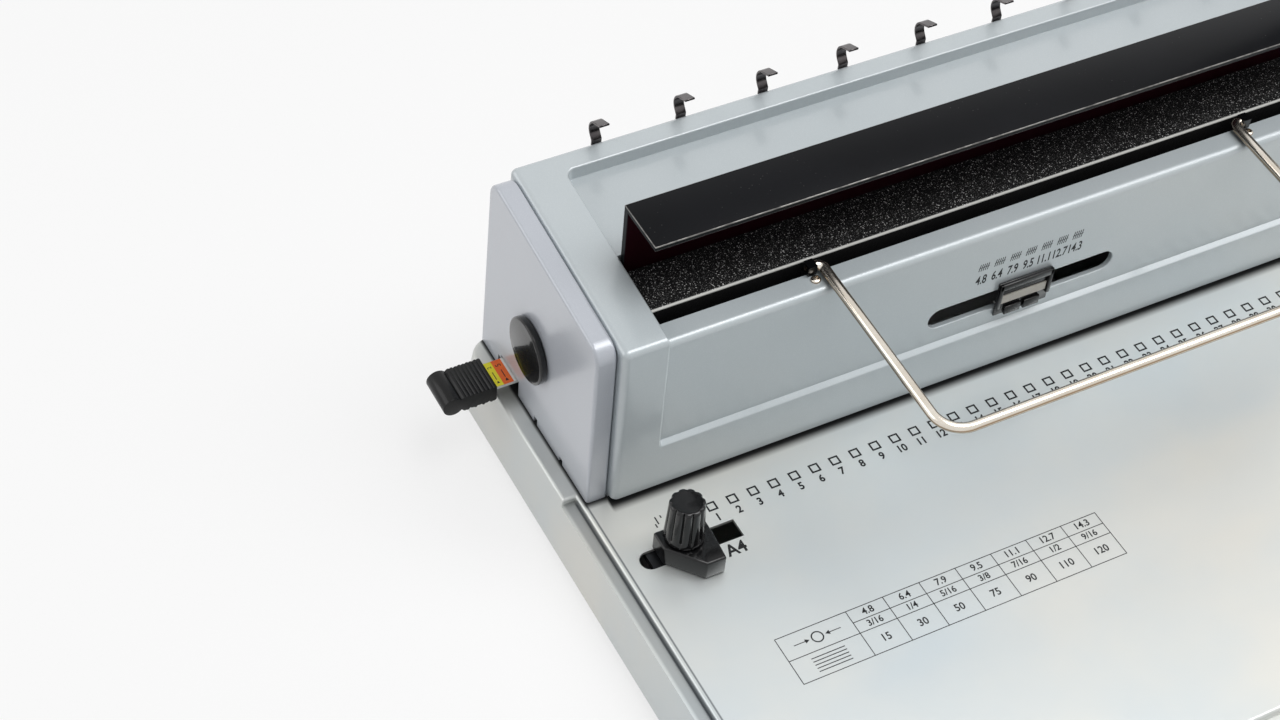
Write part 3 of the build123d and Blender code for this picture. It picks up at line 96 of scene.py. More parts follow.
class Wire:
    """A socket that Python expressions can combine with numbers and other sockets."""

    def __init__(self, book: NodeBook, socket: bpy.types.NodeSocket) -> None:
        """Keeps the socket and the book that adds nodes beside it."""
        self.book = book
        self.socket = socket

    def _math(self, operation: str, *values: Any) -> Wire:
        """Adds a Math node over the values and returns its output."""
        node = self.book.add("ShaderNodeMath", {"operation": operation}, dict(enumerate(values)))
        return Wire(self.book, node.outputs[0])

    def __add__(self, other: Any) -> Wire:
        """Sum."""
        return self._math("ADD", self, other)

    def __radd__(self, other: Any) -> Wire:
        """Sum with a number on the left."""
        return self._math("ADD", other, self)

    def __sub__(self, other: Any) -> Wire:
        """Difference."""
        return self._math("SUBTRACT", self, other)

    def __rsub__(self, other: Any) -> Wire:
        """Difference from a number on the left."""
        return self._math("SUBTRACT", other, self)

    def __mul__(self, other: Any) -> Wire:
        """Product."""
        return self._math("MULTIPLY", self, other)

    def __rmul__(self, other: Any) -> Wire:
        """Product with a number on the left."""
        return self._math("MULTIPLY", other, self)

    def __truediv__(self, other: Any) -> Wire:
        """Quotient."""
        return self._math("DIVIDE", self, other)

    def __rtruediv__(self, other: Any) -> Wire:
        """Quotient with a number on the left."""
        return self._math("DIVIDE", other, self)

    def __pow__(self, other: Any) -> Wire:
        """Power."""
        return self._math("POWER", self, other)

    def __rpow__(self, other: Any) -> Wire:
        """Power of a number on the left."""
        return self._math("POWER", other, self)

    def __abs__(self) -> Wire:
        """Size without its sign."""
        return self._math("ABSOLUTE", self)

    def larger(self, other: Any) -> Wire:
        """The larger of two values."""
        return self._math("MAXIMUM", self, other)

    def apply(self, operation: str, *values: Any) -> Wire:
        """Any other Math operation, such as SINE or ARCTAN2."""
        return self._math(operation, self, *values)

    def fade(self, low: float, high: float) -> Wire:
        """Smooth step from 0 at low to 1 at high.

        Args:
            low: Value that gives 0.
            high: Value that gives 1; it may be the smaller one.

        Returns:
            The step, held between 0 and 1.
        """
        rising = high > low
        ends = (low, high) if rising else (high, low)
        outputs = (0.0, 1.0) if rising else (1.0, 0.0)
        node = self.book.add("ShaderNodeMapRange", {"interpolation_type": "SMOOTHSTEP"},
                             {0: self, 1: ends[0], 2: ends[1], 3: outputs[0], 4: outputs[1]})
        return Wire(self.book, node.outputs[0])

    def band(self, rise: Pair, fall: Pair) -> Wire:
        """1 between a smooth rise and a smooth fall, each given from its 0 to its 1."""
        return self.fade(*rise) * self.fade(*fall)


class NodeBook:
    """Adds nodes to one tree and links their sockets."""

    def __init__(self, tree: bpy.types.NodeTree) -> None:
        """Keeps the tree that the nodes go into."""
        self.tree = tree

    def add(self, kind: str, settings: Mapping[str, Any] | None = None,
            inputs: Mapping[Any, Any] | None = None) -> bpy.types.Node:
        """Adds one node.

        Args:
            kind: Blender's name of the node type.
            settings: Properties that are set before any socket.
            inputs: Values or links by socket name or number.

        Returns:
            The new node.
        """
        node = self.tree.nodes.new(kind)
        for name, value in (settings or {}).items():
            setattr(node, name, value)
        for key, value in (inputs or {}).items():
            self.feed(node.inputs[key], value)
        return node

    def feed(self, socket: bpy.types.NodeSocket, value: Any) -> None:
        """Links a wire or a socket, or sets a plain value.

        Args:
            socket: Input that is fed.
            value: A wire, an output socket, a number, a colour or a data block.
        """
        if isinstance(value, Wire):
            value = value.socket
        if isinstance(value, bpy.types.NodeSocket):
            self.tree.links.new(value, socket)
        elif socket.type == "RGBA" and len(value) == 3:
            socket.default_value = (*value, 1.0)
        else:
            socket.default_value = value

    def wire(self, kind: str, output: Any = 0, settings: Mapping[str, Any] | None = None,
             inputs: Mapping[Any, Any] | None = None) -> Wire:
        """Adds one node and returns one of its outputs as a wire."""
        return Wire(self, self.add(kind, settings, inputs).outputs[output])

    def parts(self, vector: Any) -> tuple[Wire, Wire, Wire]:
        """Splits a vector into its three values."""
        node = self.add("ShaderNodeSeparateXYZ", inputs={0: vector})
        return tuple(Wire(self, output) for output in node.outputs)

    def joined(self, x: Any, y: Any, z: Any) -> Wire:
        """Makes a vector of three values."""
        return self.wire("ShaderNodeCombineXYZ", inputs={0: x, 1: y, 2: z})


class SurfaceBook(NodeBook):
    """Node book of a material whose surface is one Principled shader."""

    NOISE_ROUGHNESS = 0.55
    EVEN = (1.0, 1.0, 1.0)

    def __init__(self, name: str) -> None:
        """Starts an empty material with its shader linked to the output.

        Args:
            name: Name of the material.
        """
        self.material = bpy.data.materials.new(name)
        self.material.use_nodes = True
        super().__init__(self.material.node_tree)
        self.tree.nodes.clear()
        self.shader = self.add("ShaderNodeBsdfPrincipled")
        self.output = self.add("ShaderNodeOutputMaterial", inputs={"Surface": self.shader.outputs[0]})
        given = self.add("ShaderNodeTexCoord")
        self.place, self.facing = given.outputs["Object"], given.outputs["Normal"]

    def noise(self, scale: float, detail: float = 3.0, stretch: Point = EVEN) -> Wire:
        """Noise in object coordinates, from 0 to 1.

        Args:
            scale: Waves in one metre.
            detail: Number of finer layers.
            stretch: Factors on the three axes, such as a small one along a brushed grain.

        Returns:
            The noise.
        """
        place = self.place
        if stretch != self.EVEN:
            place = self.wire("ShaderNodeVectorMath", 0, {"operation": "MULTIPLY"}, {0: place, 1: stretch})
        return self.wire("ShaderNodeTexNoise", "Fac", None,
                         {"Vector": place, "Scale": scale, "Detail": detail,
                          "Roughness": self.NOISE_ROUGHNESS})

    def cells(self, scale: float) -> Wire:
        """Distance to the nearest point of a scattered pattern."""
        return self.wire("ShaderNodeTexVoronoi", "Distance", None, {"Vector": self.place, "Scale": scale})

    def blend(self, share: Any, first: Any, second: Any) -> Wire:
        """Mixes two colours by a share from 0 to 1."""
        node = self.add("ShaderNodeMix", {"data_type": "RGBA"}, {0: share, 6: first, 7: second})
        return Wire(self, node.outputs[2])

    def relief(self, height: Wire, distance: float) -> None:
        """Feeds a bump of the given height, in metres, to the shader's normal."""
        bump = self.wire("ShaderNodeBump", inputs={"Strength": 1.0, "Distance": distance, "Height": height})
        self.feed(self.shader.inputs["Normal"], bump)

    def surface(self, **inputs: Any) -> None:
        """Sets shader sockets, with underscores for the spaces in their names."""
        for name, value in inputs.items():
            self.feed(self.shader.inputs[name.replace("_", " ")], value)

    def colour(self) -> bpy.types.NodeSocket:
        """What feeds the shader's colour so far."""
        return self.shader.inputs["Base Color"].links[0].from_socket


@dataclass(frozen=True)
class Finish:
    """A surface finish with clouds, a grain and a fine relief.

    The colour drifts from the main tone to the second one with the clouds and the grain,
    and the roughness follows the grain. Here and in the finishes below, a pair named span,
    line, sides or heights holds the value without effect and the one with the full effect.
    """

    name: str
    main: Colour
    second: Colour
    roughness: float
    metallic: float = 0.0
    coat: float = 0.0
    coat_roughness: float = 0.1
    specular: float = 0.5
    spread: float = 0.12
    cloud_scale: float = 14.0
    cloud_detail: float = 4.0
    cloud_span: Pair = (0.3, 0.7)
    cloud_spread_share: float = 1 / 3
    grain_scale: float = 900.0
    grain_share: float = 0.35
    stretch: Point = SurfaceBook.EVEN
    relief_scale: float = 1500.0
    relief_detail: float = 2.0
    relief_height: float = 0.00001

    def material(self) -> bpy.types.Material:
        """Builds the material.

        Returns:
            The material.
        """
        book = SurfaceBook(self.name)
        self.dress(book)
        return book.material

    def dress(self, book: SurfaceBook) -> None:
        """Feeds colour, roughness and relief to the shader.

        Args:
            book: Book of the material.
        """
        clouds = book.noise(self.cloud_scale, self.cloud_detail).fade(*self.cloud_span)
        grain = book.noise(self.grain_scale, stretch=self.stretch)
        share = clouds * (1 - self.grain_share) + grain * self.grain_share
        drift = (grain - 0.5) * self.spread + (clouds - 0.5) * (self.spread * self.cloud_spread_share)
        book.surface(Base_Color=book.blend(share, self.main, self.second),
                     Roughness=drift + self.roughness, Metallic=self.metallic,
                     Coat_Weight=self.coat, Coat_Roughness=self.coat_roughness,
                     Specular_IOR_Level=self.specular)
        book.relief(book.noise(self.relief_scale, self.relief_detail, self.stretch), self.relief_height)


@dataclass(frozen=True)
class FlakePaint(Finish):
    """Metallic paint: fine bright flakes under a slightly rippled clear layer."""

    flake_scale: float = 2600.0
    flake_span: Pair = (0.34, 0.1)
    flake_colour: Colour = tone(238, 241, 243)
    flake_share: float = 0.22

    def dress(self, book: SurfaceBook) -> None:
        """Adds the flakes to the plain finish.

        Args:
            book: Book of the material.
        """
        super().dress(book)
        flakes = book.cells(self.flake_scale).fade(*self.flake_span) * self.flake_share
        book.surface(Base_Color=book.blend(flakes, book.colour(), self.flake_colour))


@dataclass(frozen=True)
class PolishedSheet(Finish):
    """Satin sheet steel with soft streaks, painted shade along its ledge and painted shade around the foot
    of the housing.
    """

    streak_share: float = 0.4
    streak_detail: float = 2.0
    cool: Colour = tone(190, 204, 213)
    cool_scale: float = 11.0
    cool_stretch: Point = (0.6, 1.3, 1.4)
    cool_span: Pair = (0.5, 0.7)
    warm: Colour = tone(228, 222, 210)
    warm_scale: float = 9.0
    warm_stretch: Point = (0.5, 1.6, 1.0)
    warm_span: Pair = (0.48, 0.72)
    # Painted shade: a dark colour in thin lines along the foot and top of the ledge wall, and over the
    # ledge's well.
    crease: Colour = tone(74, 80, 86)
    crease_lines: tuple[Pair, ...] = ((0.1816, 0.0004), (0.1797, 0.00035))
    crease_outer_share: float = 1.6
    crease_inner_share: float = 0.3
    crease_strength: float = 0.75
    crease_heights: Pair = (0.0235, 0.0245)
    ledge_end: Pair = (0.0515, 0.0495)
    well_sides: tuple[Pair, Pair] = ((0.1790, 0.1802), (0.1864, 0.1850))
    well_heights: tuple[Pair, Pair] = ((0.0232, 0.0244), (0.0262, 0.0258))
    well_strength: float = 0.42
    # Painted shade: a near black on the base in front of and under the housing and the caps.
    soil: Colour = tone(10, 11, 13)
    soil_strength: float = 0.985
    soil_power: float = 0.8
    soil_heights: Pair = (0.0276, 0.0279)
    cover_line: Pair = (0.0388, 0.0430)
    cover_sides: Pair = (0.1725, 0.1713)
    cap_line: Pair = (0.04386, 0.0468)
    cap_sides: Pair = (0.1810, 0.1796)

    def dress(self, book: SurfaceBook) -> None:
        """Adds the streaks, the painted shade along the ledge and in its well, and the painted shade around
        the foot of the housing.

        Args:
            book: Book of the material.
        """
        super().dress(book)
        x, y, z = book.parts(book.place)
        aside = abs(x)
        cool = book.noise(self.cool_scale, self.streak_detail, self.cool_stretch).fade(*self.cool_span)
        warm = book.noise(self.warm_scale, self.streak_detail, self.warm_stretch).fade(*self.warm_span)
        colour = book.blend(cool * self.streak_share, book.colour(), self.cool)
        colour = book.blend(warm * self.streak_share, colour, self.warm)
        # Painted shade in thin lines along the ledge wall, then over the ledge's well.
        ledge = y.fade(*self.ledge_end) * z.fade(*self.crease_heights) * self.crease_strength
        for place, width in self.crease_lines:
            ends = (width * self.crease_outer_share, width * self.crease_inner_share)
            colour = book.blend(abs(aside - place).fade(*ends) * ledge, colour, self.crease)
        well_shade = aside.band(*self.well_sides) * z.band(*self.well_heights)
        colour = book.blend(well_shade * self.well_strength, colour, self.crease)
        # Painted shade on the base at the foot of the housing and the caps; the metal shine fades out under
        # it.
        cover = y.fade(*self.cover_line) * aside.fade(*self.cover_sides)
        cap = y.fade(*self.cap_line) * aside.fade(*self.cap_sides)
        foot_shaded = cover.larger(cap) ** self.soil_power * z.fade(*self.soil_heights)
        book.surface(Base_Color=book.blend(foot_shaded * self.soil_strength, colour, self.soil),
                     Metallic=(1 - foot_shaded) * self.metallic)


@dataclass(frozen=True)
class EdgeWear:
    """A band of wear and painted highlight along one edge that runs straight through the machine.

    Axes are numbered from 0 for X. On each of the two axes the band lies around a place,
    full within its core and gone at its width.
    """

    axis: int
    place: float
    width: float
    second_axis: int
    second_place: float
    second_width: float
    core_share: float = 0.35
    second_core_share: float = 0.5

    def mask(self, axes: Sequence[Wire]) -> Wire:
        """Share of wear and painted highlight, from 0 to 1.

        Args:
            axes: The three object coordinates.

        Returns:
            The share.
        """
        near = abs(axes[self.axis] - self.place).fade(self.width, self.width * self.core_share)
        level = abs(axes[self.second_axis] - self.second_place)
        return near * level.fade(self.second_width, self.second_width * self.second_core_share)


@dataclass(frozen=True)
class WornEnamel(Finish):
    """Black enamel with dust specks, and bands along named edges that are part rubbed through to bare metal
    and part painted highlight.
    """

    edges: tuple[EdgeWear, ...] = ()
    bare: Colour = tone(150, 148, 145)
    bare_metallic: float = 0.8
    wear_scale: float = 260.0
    wear_detail: float = 4.0
    wear_span: Pair = (0.3, 0.62)
    wear_base: float = 0.4
    wear_gain: float = 0.55
    speck_scale: float = 520.0
    speck_span: Pair = (0.12, 0.04)
    speck_patch_scale: float = 40.0
    speck_patch_span: Pair = (0.5, 0.62)
    speck_strength: float = 0.22
    # Painted reflection and shade: a dark red on the front-facing inner web face under the flange.
    shade: Colour = tone(34, 6, 14)
    shade_facing: Pair = (-0.5, -0.9)
    shade_heights: Pair = (0.1304, 0.1294)

    def dress(self, book: SurfaceBook) -> None:
        """Adds specks, the edge bands of wear and painted highlight, and the painted dark red reflection
        and shade on the inner web face.

        Args:
            book: Book of the material.
        """
        super().dress(book)
        axes = book.parts(book.place)
        # Edge bands, part wear and part painted highlight.
        worn, *others = (edge.mask(axes) for edge in self.edges)
        for other in others:
            worn = worn.larger(other)
        patches = book.noise(self.wear_scale, self.wear_detail).fade(*self.wear_span)
        worn = worn * (patches * self.wear_gain + self.wear_base)
        specks = book.cells(self.speck_scale).fade(*self.speck_span)
        specks = specks * book.noise(self.speck_patch_scale).fade(*self.speck_patch_span)
        # Painted dark red reflection and shade on the front-facing faces below the flange.
        inner = book.parts(book.facing)[1].fade(*self.shade_facing) * axes[2].fade(*self.shade_heights)
        colour = book.blend(inner, book.colour(), self.shade)
        colour = book.blend(specks * self.speck_strength, colour, self.bare)
        book.surface(Base_Color=book.blend(worn, colour, self.bare), Metallic=worn * self.bare_metallic)


@dataclass(frozen=True)
class GritCoat(Finish):
    """Gritty black powder coat with small painted glints on top, and a bright line along its front edge
    that is part wear and part painted highlight.
    """

    glint: Colour = tone(246, 246, 244)
    glint_scale: float = 1150.0
    glint_span: Pair = (0.3, 0.12)
    glint_patch_scale: float = 900.0
    glint_patch_detail: float = 2.0
    fine_scale: float = 2415.0
    fine_span: Pair = (0.34, 0.1)
    fine_patch_scale: float = 1700.0
    fine_strength: float = 0.55
    patch_span: Pair = (0.42, 0.56)
    top_heights: Pair = (0.1026, 0.1028)
    # Bright line along the front edge: part wear, part painted highlight.
    worn: Colour = tone(226, 226, 222)
    worn_front: float = 0.0590
    worn_span: Pair = (0.0012, 0.00054)
    worn_heights: Pair = (0.1024, 0.1028)
    worn_strength: float = 0.95
    rough: float = 0.72
    smoothing: float = 0.35
    grit_scale: float = 1400.0
    grit_height: float = 0.00022

    def dress(self, book: SurfaceBook) -> None:
        """Adds the glints, the line of wear and painted highlight, and the coarse grit.

        Args:
            book: Book of the material.
        """
        super().dress(book)
        y, z = book.parts(book.place)[1:]
        top = z.fade(*self.top_heights)
        sparse = book.noise(self.glint_patch_scale, self.glint_patch_detail).fade(*self.patch_span)
        glints = book.cells(self.glint_scale).fade(*self.glint_span) * sparse * top
        thin = book.noise(self.fine_patch_scale).fade(*self.patch_span)
        fine = book.cells(self.fine_scale).fade(*self.fine_span) * thin * top
        # Line of wear and painted highlight along the front edge.
        line = (y - self.worn_front).fade(*self.worn_span) * z.fade(*self.worn_heights)
        colour = book.blend(glints + fine * self.fine_strength, book.colour(), self.glint)
        book.surface(Base_Color=book.blend(line * self.worn_strength, colour, self.worn),
                     Roughness=self.rough - glints * self.smoothing - line * self.smoothing)
        grit = glints.larger(book.noise(self.grit_scale))
        book.relief(grit * (1 - line), self.grit_height)


@dataclass(frozen=True)
class DrawnRod(Finish):
    """Drawn nickel rod with a painted brown reflection along its sides and painted shade on its underside,
    by the facing of its surface.
    """

    # Painted shade: a dark brown on the faces that point down.
    under: Colour = tone(58, 50, 42)
    under_span: Pair = (0.3, -0.1)
    under_strength: float = 0.92
    # Painted reflection: a brown streak on the faces that point sideways.
    streak: Colour = tone(142, 112, 76)
    streak_rise: Pair = (0.15, 0.35)
    streak_fall: Pair = (0.75, 0.5)
    streak_strength: float = 0.8
    tilt: Pair = (0.45, 0.2)

    def dress(self, book: SurfaceBook) -> None:
        """Adds the painted brown reflection and the painted underside shade to the plain finish.

        Args:
            book: Book of the material.
        """
        super().dress(book)
        # The facing of the surface decides where the painted reflection and the painted shade go.
        x, y, z = book.parts(book.facing)
        side = z - x * self.tilt[0] - y * self.tilt[1]
        reflected_brown = side.band(self.streak_rise, self.streak_fall) * self.streak_strength
        colour = book.blend(reflected_brown, book.colour(), self.streak)
        shaded_below = side.fade(*self.under_span) * self.under_strength
        book.surface(Base_Color=book.blend(shaded_below, colour, self.under))


class Slot(Enum):
    """Material slots of the record, each with its finish."""

    satin_steel = PolishedSheet(
        "satin_steel", tone(202, 210, 213), tone(216, 215, 209), 0.36, metallic=0.45, spread=0.05,
        cloud_scale=7.0, grain_scale=300.0, grain_share=0.12, stretch=(0.5, 1.0, 1.0),
        relief_scale=900.0, relief_height=0.000002)
    silver_paint = FlakePaint(
        "silver_paint", tone(182, 191, 195), tone(192, 199, 202), 0.38, metallic=0.15, coat=0.9,
        coat_roughness=0.13, cloud_scale=9.0, relief_scale=420.0, relief_height=0.000012)
    silver_paint_cap = FlakePaint(
        "silver_paint_cap", tone(180, 185, 193), tone(190, 194, 202), 0.36, metallic=0.15, coat=0.8,
        coat_roughness=0.16, cloud_scale=9.0, relief_scale=420.0, relief_height=0.000012)
    black_rubber = Finish(
        "black_rubber", tone(5, 5, 6), tone(11, 11, 12), 0.4, coat=0.35, coat_roughness=0.2,
        specular=0.1, cloud_scale=60.0, grain_scale=2400.0, relief_scale=2600.0, relief_height=0.00003)
    zinc_steel = Finish(
        "zinc_steel", tone(190, 192, 194), tone(206, 207, 204), 0.34, metallic=0.9,
        cloud_scale=90.0, grain_scale=500.0, relief_scale=900.0, relief_height=0.000008)
    tool_steel = Finish(
        "tool_steel", tone(158, 159, 162), tone(178, 178, 178), 0.3, metallic=0.95, cloud_scale=40.0,
        grain_scale=2200.0, stretch=(0.03, 1.0, 1.0), relief_scale=2400.0, relief_height=0.000006)
    spring_steel = Finish(
        "spring_steel", tone(74, 70, 72), tone(104, 100, 100), 0.22, metallic=0.85,
        cloud_scale=120.0, relief_height=0.000006)
    bright_wire = DrawnRod(
        "bright_wire", tone(206, 196, 182), tone(226, 220, 210), 0.2, metallic=1.0, spread=0.08,
        cloud_scale=50.0, grain_scale=1300.0, relief_height=0.000005)
    bronze = Finish(
        "bronze", tone(176, 138, 84), tone(150, 112, 66), 0.4, metallic=0.85, cloud_scale=220.0,
        grain_scale=1800.0, relief_scale=2600.0)
    black_plastic = Finish(
        "black_plastic", tone(4, 4, 6), tone(10, 10, 11), 0.3, coat=0.6, coat_roughness=0.09,
        specular=0.1, cloud_scale=70.0, grain_scale=1500.0, relief_scale=2200.0, relief_height=0.000012)
    black_gloss = Finish(
        "black_gloss", tone(4, 4, 6), tone(9, 9, 11), 0.24, coat=0.7, coat_roughness=0.07,
        specular=0.1, spread=0.06, cloud_scale=60.0, grain_scale=1200.0, relief_scale=900.0,
        relief_height=0.000005)
    black_enamel = WornEnamel(
        "black_enamel", tone(9, 10, 13), tone(16, 17, 21), 0.32, specular=0.1, cloud_scale=25.0,
        grain_scale=1300.0, relief_height=0.000008,
        # Edge bands of the closing bar, part wear and part painted highlight.
        edges=(EdgeWear(1, BAR_FRONT, 0.0003, 2, BAR_TOP, 0.0006),
               EdgeWear(2, BAR_LOW_EDGE, 0.00025, 1, BAR_FRONT, 0.0006),
               EdgeWear(0, -BAR_HALF, 0.0003, 2, BAR_TOP, 0.0005),
               EdgeWear(0, BAR_HALF, 0.0003, 2, BAR_TOP, 0.0005),
               EdgeWear(1, BAR_BACK, 0.0003, 2, BAR_TOP, 0.0004)))
    black_texture = GritCoat(
        "black_texture", tone(4, 4, 5), tone(14, 14, 15), 0.7, specular=0.15, cloud_scale=60.0,
        grain_scale=1600.0)
    slider_white = Finish(
        "slider_white", tone(206, 208, 204), tone(218, 218, 212), 0.35, cloud_scale=50.0,
        relief_height=0.000006)


class Trim(Enum):
    """Finishes of prints and labels."""

    ink = Finish("print_ink", tone(14, 15, 17), tone(32, 33, 36), 0.5, specular=0.3, cloud_scale=300.0,
                 grain_scale=3000.0, grain_share=0.6)
    blued = Finish("blued_steel", tone(40, 41, 44), tone(56, 57, 60), 0.35, metallic=0.6,
                   cloud_scale=60.0, grain_scale=1400.0)
    warm_grey = Finish("window_grey", tone(168, 164, 156), tone(184, 180, 172), 0.4, cloud_scale=120.0)
    yellow = Finish("label_yellow", tone(236, 224, 28), tone(246, 238, 60), 0.4, cloud_scale=200.0)
    orange = Finish("label_orange", tone(240, 96, 24), tone(247, 118, 40), 0.4, cloud_scale=200.0)
    white = Finish("label_white", tone(232, 232, 226), tone(242, 241, 236), 0.4, cloud_scale=200.0)


class Finishes:
    """Builds every finish once and hands out its material."""

    def __init__(self) -> None:
        """Starts with no material built."""
        self.made: dict[str, bpy.types.Material] = {}

    def get(self, choice: Slot | Trim) -> bpy.types.Material:
        """Material of a slot or trim.

        Args:
            choice: The slot or trim.

        Returns:
            Its material, built at the first call.
        """
        finish = choice.value
        if finish.name not in self.made:
            self.made[finish.name] = finish.material()
        return self.made[finish.name]

    def dress_frame(self, nodes: Mapping[str, bpy.types.Object]) -> None:
        """Gives every CAD node the finish of its own material slot.

        Args:
            nodes: CAD objects by node name.
        """
        for node_object in nodes.values():
            for place in node_object.material_slots:
                place.material = self.get(Slot[place.material.name.split(".")[0]])
        nodes["guide_clamp_plate"].material_slots[0].material = self.get(Trim.blued)


def link(name: str, data: bpy.types.ID) -> bpy.types.Object:
    """Puts a mesh, curve, lamp or camera into the scene as an object at the origin.

    Args:
        name: Name of the object.
        data: What the object shows.

    Returns:
        The object.
    """
    piece = bpy.data.objects.new(name, data)
    bpy.context.scene.collection.objects.link(piece)
    return piece


def tidy(mesh: bpy.types.Mesh, near: float = 1e-7) -> None:
    """Merges doubles and turns the faces outwards.

    Args:
        mesh: Mesh that is changed.
        near: Distance within which two corners are one.
    """
    work = bmesh.new()
    work.from_mesh(mesh)
    bmesh.ops.remove_doubles(work, verts=work.verts, dist=near)
    bmesh.ops.recalc_face_normals(work, faces=work.faces)
    work.to_mesh(mesh)
    work.free()


def smooth(mesh: bpy.types.Mesh) -> None:
    """Shades every face of a mesh smooth."""
    mesh.polygons.foreach_set("use_smooth", [True] * len(mesh.polygons))


def sharpen(piece: bpy.types.Object, degrees: float = 40.0) -> None:
    """Keeps edges above an angle crisp on a smooth mesh.

    Args:
        piece: Object whose mesh is changed.
        degrees: The angle.
    """
    work = bmesh.new()
    work.from_mesh(piece.data)
    limit = math.radians(degrees)
    for edge in work.edges:
        edge.smooth = len(edge.link_faces) == 2 and edge.calc_face_angle(0.0) < limit
    work.to_mesh(piece.data)
    work.free()


def mesh_of(name: str, points: Sequence[Sequence[float]], faces: Sequence[Sequence[int]]) -> bpy.types.Mesh:
    """Closed mesh with its doubles merged and its faces turned outwards.

    Args:
        name: Name of the mesh.
        points: Corners.
        faces: Corner numbers of each face.

    Returns:
        The mesh.
    """
    mesh = bpy.data.meshes.new(name)
    mesh.from_pydata([tuple(point) for point in points], [], faces)
    tidy(mesh)
    return mesh


def plain_mesh(piece: bpy.types.Object) -> bpy.types.Mesh:
    """New mesh of what an object shows with its modifiers.

    Args:
        piece: Any object that can become a mesh.

    Returns:
        The mesh.
    """
    bpy.context.view_layer.update()
    graph = bpy.context.evaluated_depsgraph_get()
    return bpy.data.meshes.new_from_object(piece.evaluated_get(graph), depsgraph=graph)


def baked(piece: bpy.types.Object) -> bpy.types.Object:
    """Turns what the modifiers make into the object's own mesh.

    Args:
        piece: Object with modifiers.

    Returns:
        The same object, without them.
    """
    mesh = plain_mesh(piece)
    piece.modifiers.clear()
    piece.data = mesh
    return piece


def merged(name: str, meshes: Sequence[bpy.types.Mesh]) -> bpy.types.Mesh:
    """Joins meshes into one and drops the single ones that nothing uses.

    Args:
        name: Name of the new mesh.
        meshes: Meshes that are joined.

    Returns:
        The new mesh.
    """
    work = bmesh.new()
    for mesh in meshes:
        work.from_mesh(mesh)
        if not mesh.users:
            bpy.data.meshes.remove(mesh)
    joined = bpy.data.meshes.new(name)
    work.to_mesh(joined)
    work.free()
    return joined


def skin(count: int, levels: int) -> list[tuple[int, ...]]:
    """Faces of a closed skin over rings of corners, with flat ends.

    Args:
        count: Corners in a ring.
        levels: Number of rings.

    Returns:
        Corner numbers of each face.
    """
    last = (levels - 1) * count
    faces = [tuple(range(count))[::-1], tuple(range(last, last + count))]
    for start in range(0, last, count):
        for i in range(count):
            j = (i + 1) % count
            faces.append((start + i, start + j, start + count + j, start + count + i))
    return faces


def lofted(name: str, rings: Sequence[Sequence[Point]]) -> bpy.types.Mesh:
    """Closed skin over rings of equal length, with flat ends."""
    return mesh_of(name, [point for ring in rings for point in ring], skin(len(rings[0]), len(rings)))


def bar(x0: float, x1: float, y0: float, y1: float, z0: float, z1: float) -> bpy.types.Mesh:
    """Closed block between three pairs of coordinates."""
    return lofted("bar", [[(x0, y0, z), (x1, y0, z), (x1, y1, z), (x0, y1, z)] for z in (z0, z1)])


def crest(turns: float) -> float:
    """Wave that is 1 at whole turns and 0 half way between them."""
    return 0.5 + 0.5 * math.cos(math.tau * turns)


def turned(name: str, profile: Sequence[Pair], segments: int) -> bpy.types.Mesh:
    """Closed smooth body turned about the Z axis.

    Args:
        name: Name of the mesh.
        profile: Pairs of a radius and a height, from the foot up.
        segments: Number of sides.

    Returns:
        The mesh.
    """
    turns = [math.tau * i / segments for i in range(segments)]
    mesh = lofted(name, [[(radius * math.cos(a), radius * math.sin(a), height) for a in turns]
                         for radius, height in profile])
    smooth(mesh)
    return mesh


def quarter(steps: int, first: int = 1) -> list[Pair]:
    """Cosines and sines of a quarter turn in equal steps.

    Args:
        steps: Steps in the quarter.
        first: Number of the first step that is given.

    Returns:
        Pairs of a cosine and a sine.
    """
    angles = [math.pi / 2 * index / steps for index in range(first, steps + 1)]
    return [(math.cos(a), math.sin(a)) for a in angles]


def softened(piece: bpy.types.Object, width: float, segments: int = 2,
             degrees: float = 35.0) -> bpy.types.Object:
    """Rounds the sharp edges of a piece and shades it smooth.

    Args:
        piece: Object whose mesh is changed.
        width: Width of the rounding.
        segments: Steps across it.
        degrees: Angle above which an edge counts as sharp.

    Returns:
        The same object.
    """
    bevel = piece.modifiers.new("softened", "BEVEL")
    bevel.width = width
    bevel.segments = segments
    bevel.limit_method = "ANGLE"
    bevel.angle_limit = math.radians(degrees)
    bevel.harden_normals = False
    baked(piece)
    smooth(piece.data)
    sharpen(piece)
    return piece


